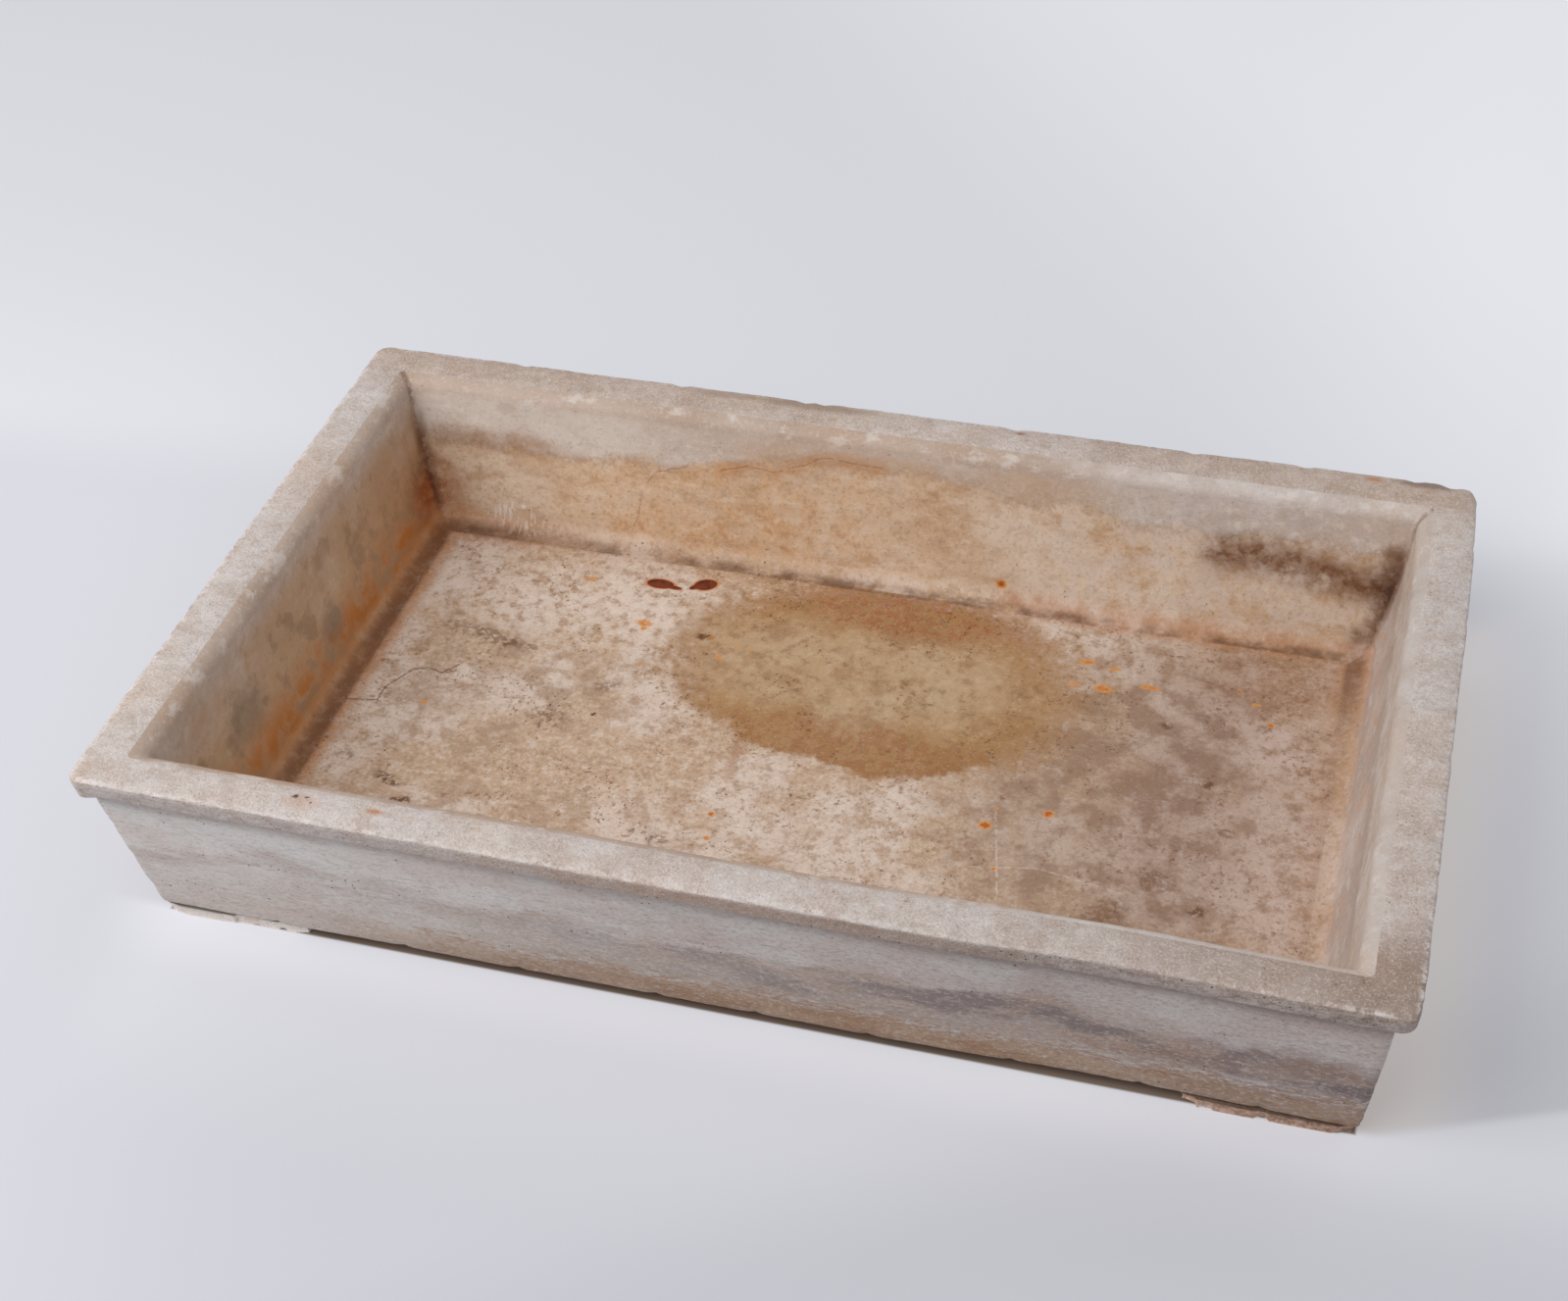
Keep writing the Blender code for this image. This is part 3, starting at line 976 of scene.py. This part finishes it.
def ground_stone(place, middling, small):
    """The floor's stone, cream and tan in patches, on which all else is laid."""
    big = clouds(place, 48, 3, 0.5, seed=31)
    fine = clouds(place, 2.4, 4, 0.75, seed=47)
    color = big.two_tone(0.42, 0.58, (190, 160, 132), (208, 187, 170))
    color = color.dapple(
        (middling, 0.5, 0.6, 0.6, 172, 140, 112),
        (small, 0.52, 0.64, 0.4, 222, 206, 192),
        (small, 0.47, 0.38, 0.5, 160, 126, 96),
        (fine, 0.48, 0.36, 0.35, 226, 214, 204),
    )
    return color.coat(fine.rise(0.56, 0.65) * 0.55, 138, 106, 78)


def crease_marks_and_shade(color, place, inner, middling, small):
    """Dirt, a reddish strip, orange lines and a broken dark seam where the floor meets the walls; the dark
    crease is partly grime and partly painted shade.
    """
    x, y, _ = place.split()
    grime_and_shade = inner.left * y.span(-142, -60) * 0.78
    grime_and_shade = grime_and_shade + inner.back * (x.span(40, -10) * 0.16 + x.span(-150, -235) * 0.6)
    grime_and_shade = grime_and_shade + inner.right * (y.span(60, 128) * 0.6 + 0.15) + inner.front * 0.45
    red = inner.foot_line.span(4.5, 0.5) * inner.back * x.span(45, 75)
    color = color.coat(red * (middling.rise(0.32, 0.56) * 0.4 + 0.2), 174, 120, 80)
    orange = inner.foot_line.span(7, 1) * (inner.left + inner.right * 0.25)
    color = color.coat(orange * small.rise(0.36, 0.56) * 0.4, 184, 130, 80)
    spread = inner.foot_line.span(6.5, 0.5) * (small.rise(0.36, 0.56) * 0.5 + 0.5)
    color = color.coat(spread * grime_and_shade * 0.85, 170, 108, 54)
    # Dark core right in the crease: grime, and painted shade where the floor meets the wall
    core = inner.foot_line.span(2.0, 0) * (small.rise(0.34, 0.54) * 0.3 + 0.7)
    color = color.coat(core * grime_and_shade * 0.9, 98, 58, 30)
    seam_stretch = clouds(place, 6, 3, 0.6, seed=48, stretch=(3, 3, 3)).rise(0.38, 0.66)
    seam = inner.foot_line.span(0.8, 0) * seam_stretch * (inner.back + inner.left * 0.5)
    return color.coat(seam * 0.75, 100, 68, 44)


def grain_over(color, place, grains):
    """Pale crystal flecks and dark grains, which every inner face has."""
    flecks = clouds(place, 1.2, 2, 0.6, seed=44, stretch=(1.6, 1, 1)).rise(0.58, 0.72)
    color = color.coat(flecks * 0.15, 230, 220, 208)
    return color.coat(grains.rise(0.42, 0.28) * 0.3, 128, 102, 80)


def floor_marble():
    """The floor inside: mottled tan stone with a damp honey patch, rust, grime, specks and cracks."""
    material, place = new_finish("floor_marble")
    x, y, _ = place.split()
    inner = inner_places(place)
    flat = place * (1, 1, 0)
    middling, small, grains = inner_noises(place)
    loose = ragged(place, 6, 4, seed=35)
    drifting = ragged(loose, 30, 20, seed=49)

    color = ground_stone(place, middling, small)
    brown_end = patch(drifting, (152, 0, 17), (96, 130, 0)).rise(1.1, 0.5)
    brown_end = brown_end * (middling.rise(0.4, 0.6) * 0.45 + 0.45)
    color = color.coat(brown_end * (x.span(225, 180) * 0.5 + 0.42), 146, 116, 94)
    pale_right = patch(loose, (226, 44, 17), (30, 46, 0)).rise(1.2, 0.4) * small.rise(0.36, 0.56)
    color = color.coat(pale_right * 0.4, 212, 194, 180)
    back_right = patch(drifting, (200, 108, 17), (60, 32, 0)).rise(1.2, 0.4) * 0.5
    color = color.stain(back_right, 206, 180, 160)
    lilac = patch(loose, (200, -10, 17), (70, 140, 0)).rise(1.1, 0.5) * 0.4
    color = color.stain(lilac, 224, 208, 208)
    brown_left = patch(loose, (-160, 10, 17), (80, 62, 0), 30).rise(1.1, 0.3) * middling.rise(0.42, 0.6)
    color = color.coat(brown_left * 0.5, 164, 136, 112)
    tan_front = patch(loose, (-130, -85, 17), (95, 42, 0)).rise(1.1, 0.4) * middling.rise(0.46, 0.6)
    color = color.coat(tan_front * 0.55, 174, 145, 120)
    chalky = patch(loose, (-150, 86, 17), (105, 46, 0)).rise(1.1, 0.3) * small.rise(0.38, 0.56)
    color = color.coat(chalky * 0.65, 224, 207, 192)

    ragged_grime = clouds(place, 3.4, 4, 0.7, seed=43)

    # The damp patch in the middle: honey colored, browner towards its front and back edges
    damp_reach = patch(drifting, (14, 62, 17), (106, 70, 0)) + (small - 0.5) * (y.span(0, 60) * 0.5 + 0.1)
    haze = y.span(5, 45) * 0.16
    damp = damp_reach.rise(haze + 1.03, 0.95 - haze)
    damp_middle = patch(drifting, (6, 60, 17), (80, 38, 0)).rise(1.3, 0.6)
    honey = damp_middle.over(paint(164, 120, 68), paint(180, 149, 110))
    honey = honey.dapple(
        (middling, 0.48, 0.64, 0.55, 148, 107, 68),
        (small, 0.5, 0.66, 0.35, 202, 174, 138),
        (small, 0.47, 0.34, 0.5, 128, 90, 56),
    )
    back_rust = patch(drifting, (18, 120, 17), (92, 28, 0)).rise(1.2, 0.5) * small.rise(0.42, 0.56)
    honey = honey.coat(back_rust * 0.95, 150, 82, 8)
    front_rust = patch(drifting, (10, 8, 17), (88, 24, 0)).rise(1.2, 0.4) * small.rise(0.42, 0.56)
    honey = honey.coat(front_rust * 0.9, 146, 90, 22)
    rusty = (back_rust + front_rust * 0.7) * ragged_grime.rise(0.5, 0.62)
    honey = honey.coat(rusty * 0.8, 132, 70, 20)
    color = (damp * 0.85).over(color, honey)
    damp_rim = damp_reach.rise(0.8, 0.96) * damp * small.rise(0.42, 0.58)
    color = color.coat(damp_rim * 0.4, 144, 98, 56)
    color = crease_marks_and_shade(color, place, inner, middling, small)

    # Specks, growth, rust, scratches and the crack
    leftward = x.span(140, -60) * 0.5 + 0.5
    crowded = clouds(place, 19, 3, seed=42).rise(0.48, 0.6)
    specks = pits(place, 2.3, 0.5, 0.26, seed=41) * crowded
    color = color.coat(specks * leftward * 0.8, 90, 58, 36)
    spots = ragged_grime.rise(0.56, 0.63) * (crowded * 0.9 + 0.08)
    color = color.coat(spots * 0.7, 124, 82, 50)
    color = grain_over(color, place, grains)
    tight = ragged(place, 2.4, 1.1, seed=45)
    growth = reduce(Wire.most, (
        floor_patch(tight, *spot, turn).rise(1.25, 0.55) * strength
        for *spot, turn, strength in grime_spots
    ))
    color = color.coat(growth * ragged_grime.rise(0.44, 0.52) * 1.3, 104, 68, 40)
    rust = from_path(loose * (1, 1, 0), ((-76, 71.2, 0), (-54, 67.8, 0))).span(3.4, 0.4)
    rust = rust * small.rise(0.36, 0.58) * 0.3
    for *spot, strength in rust_spots:
        rust = rust.most(floor_patch(tight, *spot).rise(1.35, 0.3) * strength)
    rust = rust - ragged_grime.rise(0.53, 0.4) * 0.3
    rust_color = rust.two_tone(0.5, 0.95, (206, 142, 78), (176, 88, 26))
    color = rust.rise(0.05, 0.5).over(color, rust_color)
    lines = (from_line(tight * (1, 1, 0), *ends).span(0.8, 0.1) for ends in floor_scratches)
    scratch = reduce(Wire.most, lines)
    color = color.coat(scratch * ragged_grime.rise(0.44, 0.58) * 0.45, 220, 210, 200)
    drip = from_path(loose * (1, 1, 0), ((-38, -1, 0), (-37, -26, 0))).span(4.5, 1)
    color = color.coat(drip * 0.45, 158, 112, 76)
    slit = from_path(flat, ((66, 131.5, 0), (110, 130.2, 0), (166, 129.2, 0), (246, 129, 0)))
    slit = slit.span(1.0, 0.2) * small.rise(0.42, 0.54)
    color = color.coat(slit * 0.55, 96, 70, 56)
    crack = from_path(tight * (1, 1, 0), floor_crack).span(0.8, 0.1)
    crack = crack * ragged_grime.rise(0.34, 0.48)
    color = color.coat(crack * 0.8, 130, 86, 54)

    # Two dried drops with orange rims
    drop = reduce(Wire.least, (floor_patch(place, *shape) for shape in dried_drops))
    color = color.coat(drop.rise(1.35, 1.02) * 0.8, 196, 120, 58)
    drop = drop.rise(1.06, 0.92)
    color = drop.over(color, small.two_tone(0.4, 0.6, (84, 26, 14), (116, 50, 24)))

    height = grains * 0.3 + small * 0.6 - specks * 0.8 - crack * 0.5
    roughness = 0.52 - damp * 0.08 - drop * 0.27 + growth * 0.15
    return polish(material, color, roughness, height, 0.6 * mm)


def inner_wall_marble():
    """Inner walls: pale above the tide line, tan and orange below it, grimy in the back corners, with
    painted shade down the back valleys.
    """
    material, place = new_finish("inner_wall_marble")
    x, y, z = place.split()
    inner = inner_places(place)
    middling, small, grains = inner_noises(place)
    big = clouds(place, 48, 3, 0.5, seed=31)
    loose = ragged(place, 5, 3, seed=35)
    loose_upright = loose * (1, 0, 1)

    tide = 61 * mm + x.span(-150, -35) * (18 * mm) - x.span(0, 130) * (8 * mm)
    tide = tide + inner.left * (6 * mm) - inner.right * (8 * mm)
    wander = (clouds(place, 34, 3, 0.5, seed=37) - 0.5) * (26 * mm) + (small - 0.5) * (12 * mm)
    over_tide = z + wander - tide
    fine = clouds(place, 2.4, 4, 0.75, seed=47)
    streaks = clouds(place, 9, 4, 0.65, seed=38, stretch=(1.6, 1.6, 0.8))
    tan = big.two_tone(0.36, 0.6, (204, 174, 144), (218, 196, 172))
    tan = tan.dapple(
        (middling, 0.5, 0.66, 0.5, 192, 158, 128),
        (small, 0.54, 0.68, 0.4, 224, 208, 192),
    )
    orange_reach = x.span(-215, -140) * x.span(70, -40)
    orange = (inner.left * 0.5 + inner.back * orange_reach) * middling.rise(0.7, 0.36)
    tan = tan.coat(orange * 0.6, 204, 156, 108)
    tan = tan.coat(orange * small.rise(0.52, 0.64) * 0.55, 180, 124, 74)
    tan = tan.dapple(
        (small, 0.46, 0.34, 0.4, 166, 132, 98),
        (streaks, 0.51, 0.64, 0.45, 178, 138, 98),
        (streaks, 0.47, 0.36, 0.45, 224, 204, 182),
    )
    lilac = big.two_tone(0.4, 0.6, (176, 160, 152), (191, 177, 169))
    lilac = lilac.coat(streaks.rise(0.5, 0.66) * z.span(84, 50) * 0.8, 188, 158, 134)
    lilac = lilac.coat(streaks.rise(0.46, 0.34) * 0.5, 214, 204, 198)
    pale_right = inner.back * x.span(20, 110)
    tan = tan.coat(pale_right * middling.rise(0.62, 0.42) * 0.6, 212, 196, 184)
    tan = tan.coat(pale_right * small.rise(0.54, 0.64) * 0.5, 190, 150, 108)
    tan = inner.right.over(tan, lilac)

    under_lip = z.span(92, 84)
    upper = pale_stone(place)
    upper = upper.coat(under_lip * middling.rise(0.46, 0.64) * 0.4, 196, 174, 156)
    upper = upper.coat(under_lip * small.rise(0.5, 0.66) * 0.5, 224, 213, 203)
    upper = upper.stain(z.span(86, 92) * x.span(160, 40), 236, 222, 209)
    pale_left = inner.back * z.span(94, 87) * x.span(-60, -160)
    upper = upper.coat(pale_left * 0.5, 224, 210, 197)
    upper = upper.dapple(
        (streaks, 0.46, 0.34, 0.45, 222, 213, 206),
        (streaks, 0.52, 0.66, 0.35, 180, 160, 144),
    )
    warm = inner.back * x.span(-120, -40) * x.span(150, 60) * under_lip
    upper = upper.coat(warm * (big.rise(0.36, 0.56) * 0.4 + 0.45), 196, 168, 142)
    soft_edge = inner.left * (14 * mm) + 3 * mm
    color = over_tide.rise(soft_edge, 0 - soft_edge).over(upper, tan)
    tide_line = abs(over_tide).span(5, 0) * inner.back * small.rise(0.4, 0.55)
    color = color.coat(tide_line * 0.45, 168, 136, 108)
    color = color.coat(fine.rise(0.48, 0.36) * 0.22, 226, 213, 200)
    color = color.coat(fine.rise(0.55, 0.65) * z.span(92, 66) * 0.35, 146, 114, 86)
    color = grain_over(color, place, grains)
    ground = ground_stone(place, middling, small)
    color = z.rise(floor_level + 7 * mm, floor_level).over(color, ground)

    color = color.stain(inner.right * z.span(40, 60), 245, 246, 246)

    # Left wall: olive-brown over its middle, with an orange glow low down and two greyer smudges
    olive = clouds(place, 40, 4, 0.6, seed=39).rise(0.34, 0.56) * 0.5 + 0.4
    olive = olive * inner.left * z.span(93, 74)
    color = color.coat(olive * 0.9, 186, 150, 114)
    color = color.coat(olive * middling.rise(0.5, 0.62) * 0.6, 146, 118, 90)
    color = color.coat(olive * streaks.rise(0.46, 0.36) * 0.3, 206, 176, 142)
    toward_back = inner.left * y.span(20, 120) * z.span(88, 62)
    color = color.coat(toward_back * 0.5, 176, 130, 92)
    glow = inner.left * z.span(52, 28) * z.span(18, 24) * middling.rise(0.66, 0.4)
    color = color.coat(glow * 0.85, 186, 108, 22)
    for middle, reach in (((-252, -75, 55), (14, 24, 17)), ((-252, 12, 40), (12, 14, 12))):
        smudge = patch(loose, middle, reach).rise(1.2, 0.4)
        color = color.coat(smudge * inner.left * 0.5, 120, 108, 94)

    # Back wall: a smear under the lip at the right, grime in the left corner, chalky scratches
    smear = from_path(loose_upright, wall_smear).span(17, 2)
    smear = smear * inner.back * (middling.rise(0.3, 0.54) * 0.5 + small.rise(0.4, 0.6) * 0.3 + 0.2)
    color = color.stain(smear * 0.9, 136, 94, 56)
    corner = from_path(loose_upright, corner_smear).span(10, 1) * inner.back
    color = color.stain(corner * (small.rise(0.36, 0.54) * 0.3 + 0.5), 146, 114, 88)
    corner_grime = patch(loose, (-252, 138, 34), (25, 34, 30)).rise(1.1, 0.2)
    color = color.stain(corner_grime * (small.rise(0.4, 0.56) * 0.4 + 0.4), 196, 142, 92)
    tide_stain = patch(loose, (-215, 136, 66), (52, 34, 8)).rise(1.2, 0.3) * inner.back
    color = color.stain(tide_stain * (middling.rise(0.36, 0.56) * 0.4 + 0.4), 196, 164, 132)
    # Painted shade down the back valleys under the lip, and along the mitres where the lips meet
    valley = inner.corner_line.span(7, 0.5) * y.span(0, 60) * z.span(92, 62)
    color = color.stain(valley * (small.rise(0.34, 0.5) * 0.3 + 0.6), 140, 100, 64)
    mitre = inner.mitre.span(3.4, 0.6) * y.span(0, 20) * z.span(78, 84)
    color = color.stain(mitre * small.rise(0.36, 0.54) * 0.6, 150, 122, 104)
    chalk = clouds(place, 3.8, 2, 0.6, seed=40, stretch=(0.5, 1, 3)).rise(0.52, 0.62)
    chalk = chalk * patch(loose, (-205, 137, 22), (17, 20, 10)).rise(1.1, 0.7)
    color = color.coat(chalk * 0.8, 234, 224, 216)
    color = crease_marks_and_shade(color, place, inner, middling, small)

    specks = pits(place, 3.6, 0.3, 0.2, seed=41) * clouds(place, 17, 3, seed=42).rise(0.46, 0.6)
    color = color.coat(specks * z.span(60, 20) * 0.6, 98, 78, 60)
    tight = ragged(place, 2.4, 1.1, seed=45)
    rust = patch(tight, (61, 140, 25), (3.0, 6, 2.6)).rise(1.35, 0.3)
    color = rust.rise(0.05, 0.5).over(color, rust.two_tone(0.5, 0.95, (206, 142, 78), (170, 84, 28)))
    lines = (from_path(tight * (1, 0, 1), points).span(0.8, 0.1) for points in wall_cracks)
    crack = reduce(Wire.most, lines) * inner.back * clouds(place, 5, 3, seed=46).rise(0.38, 0.52)
    halo = from_path(loose_upright, wall_cracks[1]).span(6, 1) * inner.back
    color = color.coat(halo * 0.4, 184, 128, 80)
    color = color.coat(crack * 0.4, 160, 104, 58)

    height = grains * 0.3 + small * 0.5 - specks * 0.6 - crack * 0.3
    roughness = 0.5 + smear * 0.1 + corner_grime * 0.15
    return polish(material, color, roughness, height, 0.6 * mm)


def foot_stone():
    """Coarse brown-tan stone, cream at the front left, with painted shade along its top where the basin is
    bedded on it.
    """
    material, place = new_finish("foot_slip_stone")
    x, y, z = place.split()
    coarse = clouds(place, 7, 4, 0.65, seed=61)
    grains = clouds(place, 1.6, 3, 0.8, seed=62)
    layers = clouds(place, 5, 3, 0.6, seed=63, stretch=(3, 3, 0.4))
    color = coarse.two_tone(0.38, 0.62, (168, 132, 110), (204, 168, 146))
    color = color.coat(layers.rise(0.52, 0.66) * 0.5, 118, 88, 70)
    left_slip = x.span(0, -10) * y.span(0, -10)
    left_cream = coarse.two_tone(0.4, 0.6, (240, 224, 210), (252, 246, 238))
    color = (left_slip * 0.95).over(color, left_cream)
    cream = x.span(-235, -238) * left_slip
    color = color.coat(cream * coarse.rise(0.3, 0.5) * 0.9, 234, 224, 216)
    color = color.coat(grains.rise(0.53, 0.62) * 0.45, 216, 202, 190)
    color = color.coat(grains.rise(0.47, 0.38) * (0.5 - left_slip * 0.2), 92, 72, 58)
    # Painted shade: a dark band along the slip's top, where the basin sits on it
    bed_shade = z.span(4.2, 4.9)
    color = color.coat(bed_shade * 0.75, 72, 56, 46)
    height = grains * 0.5 + coarse * 0.5 + layers * 0.3
    roughness = coarse * 0.1 + 0.75
    return polish(material, color, roughness, height, 0.8 * mm)


def lay_marbles(basin):
    """Gives each face the finish of its place: rim 0, inner wall 1, floor 2, outside and underside 3."""
    for finish in (rim_marble(), inner_wall_marble(), floor_marble(), outer_marble()):
        basin.data.materials.append(finish)
    inside_start = arris_round + rim_flat_width + lip_width * 0.4
    for face in basin.data.polygons:
        centre = face.center
        inset = min(rim_length / 2 - abs(centre.x), rim_width / 2 - abs(centre.y))
        if inset > inside_start and centre.z > floor_level + tiny:
            face.material_index = 1
        elif inset > inside_start and centre.z > floor_level - tiny:
            face.material_index = 2
        elif centre.z < rim_level - rim_face_height + 0.2 * mm:
            face.material_index = 3


def ride_on_root(piece, node):
    """Ties a piece to the only body and hides the node that it stands for."""
    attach(piece, "root")
    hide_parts(node)


def set_camera():
    """The photograph's viewpoint, worked out from the rim, floor and base edges."""
    bpy.ops.object.camera_add()
    camera = bpy.context.active_object
    camera.name = "photo_view"
    camera.data.sensor_width = sensor_width
    camera.data.lens = focal_pixels * sensor_width / image_width
    columns = (camera_right, -camera_down, -camera_ahead)
    camera.matrix_world = Matrix.Translation(camera_place) @ Matrix(columns).transposed().to_4x4()
    bpy.context.scene.camera = camera


def softbox(name, azimuth, elevation, distance, size, power, color):
    """A square lamp that looks at the bowl; azimuth is turned from the front towards the left."""
    turn, rise = math.radians(azimuth), math.radians(elevation)
    place = Vector((-math.sin(turn) * math.cos(rise), -math.cos(turn) * math.cos(rise), math.sin(rise)))
    bpy.ops.object.light_add(type="AREA", location=place * distance)
    lamp = bpy.context.active_object
    lamp.name = name
    lamp.data.shape = "SQUARE"
    lamp.data.size = size
    lamp.data.energy = power
    lamp.data.color = color
    lamp.rotation_euler = (-place).to_track_quat("-Z", "Y").to_euler()


def floor_paper():
    """Pale lavender-grey paper with painted light, brightest at its far right and dimmest at its near right.
    """
    material, place = new_finish("studio_paper")
    x, y, _ = place.split()
    away = y * 0.995 - x * 0.0995
    # Painted light: the paper is lighter beyond a line just behind the bowl and towards its far right
    step = away.rise(0.18, 0.27)
    bright = (x * 0.6 + y).rise(-0.9, 1.4)
    color = bright.over(paint(164, 164, 171), paint(190, 190, 195))
    color = color.coat(step * 0.5, 196, 196, 200)
    # Painted light in the glow that camera and glossy rays see: more at the far right and near left, less at
    # the near right
    glow = (x * 0.75 + y * 0.65).rise(0.26, 0.62) * 0.11 + 0.215
    glow = glow + away.rise(0.205, 0.24) * x.rise(0.1, 0.3) * 0.03
    glow = glow + (x + y * 0.3).rise(-0.2, -0.42) * y.rise(0.45, 0.1) * 0.055
    glow = glow - (x - y * 1.5).rise(0.36, 0.5) * 0.05
    glow = glow + (x - y * 0.2).rise(0.24, 0.3) * y.rise(-0.16, 0.14) * 0.03

    # In front of the bowl painted light keeps the paper bright; at its right a painted warm glow lights its
    # shadow
    gap = 0 - y - 151.5 * mm
    in_front = (gap + (x - 280 * mm).most(0.0) * 0.42).span(-1.5, 6)
    far_lift = gap.rise(140 * mm - x.rise(0.0, 0.25) * (60 * mm), 20 * mm) * 0.07
    lift = (gap.span(45, -5) * 0.13 + far_lift) * (1 - x.rise(0.24, 0.36) * 0.45)
    glow = glow + lift * in_front * x.rise(-0.31, -0.25)
    outside = (abs(x - 2 * mm) - 267 * mm).most(abs(y) - 151.5 * mm)
    painted_warm_glow = outside.span(64, 22) * x.span(264, 272) * (1 - in_front) * y.rise(0.25, 0.15)

    # Under the basin the paper is painted dark as a contact shadow, and it doesn't glow
    lit = outside.span(3.0, 4.6)
    color = lit.over(paint(140, 122, 108), color)
    seen = place.node("LightPath")
    seen = seen.most(seen.sibling("Is Glossy Ray")) * lit
    glow = glow * seen
    painted_warm_glow = painted_warm_glow * seen
    levels = {0: glow + painted_warm_glow * 0.105, 1: glow + painted_warm_glow * 0.082, 2: glow * 1.04 + painted_warm_glow * 0.05}
    light = place.node("CombineColor", None, levels)
    shader = material.node_tree.nodes["Principled BSDF"]
    material.node_tree.links.new(color.output, shader.inputs["Base Color"])
    material.node_tree.links.new(light.output, shader.inputs["Emission Color"])
    shader.inputs["Emission Strength"].default_value = 1.0
    shader.inputs["Roughness"].default_value = 0.9
    shader.inputs["Specular IOR Level"].default_value = 0.1
    return material


def dress_studio():
    """Pale floor, even air, a soft lamp at the left and a broader one over the front."""
    scene = bpy.context.scene
    scene.view_settings.view_transform = "Standard"
    world = bpy.data.worlds.new("studio_air")
    scene.world = world
    world.use_nodes = True
    air = world.node_tree.nodes["Background"]
    air.inputs["Color"].default_value = air_color
    air.inputs["Strength"].default_value = air_strength
    bpy.ops.mesh.primitive_plane_add(size=paper_size, location=(0, 0, 0))
    floor = bpy.context.active_object
    floor.name = "studio_floor"
    floor.data.materials.append(floor_paper())
    for name, settings in lamps.items():
        softbox(name, *settings)


def main():
    set_camera()
    basin = carve_basin()
    lay_marbles(basin)
    weather_basin(basin)
    ride_on_root(basin, "basin")
    stone = foot_stone()
    for node in ("foot_front_left", "foot_front_right", "foot_back_left", "foot_back_right"):
        foot = split_foot(node)
        foot.data.materials.append(stone)
        ride_on_root(foot, node)
    dress_studio()


main()
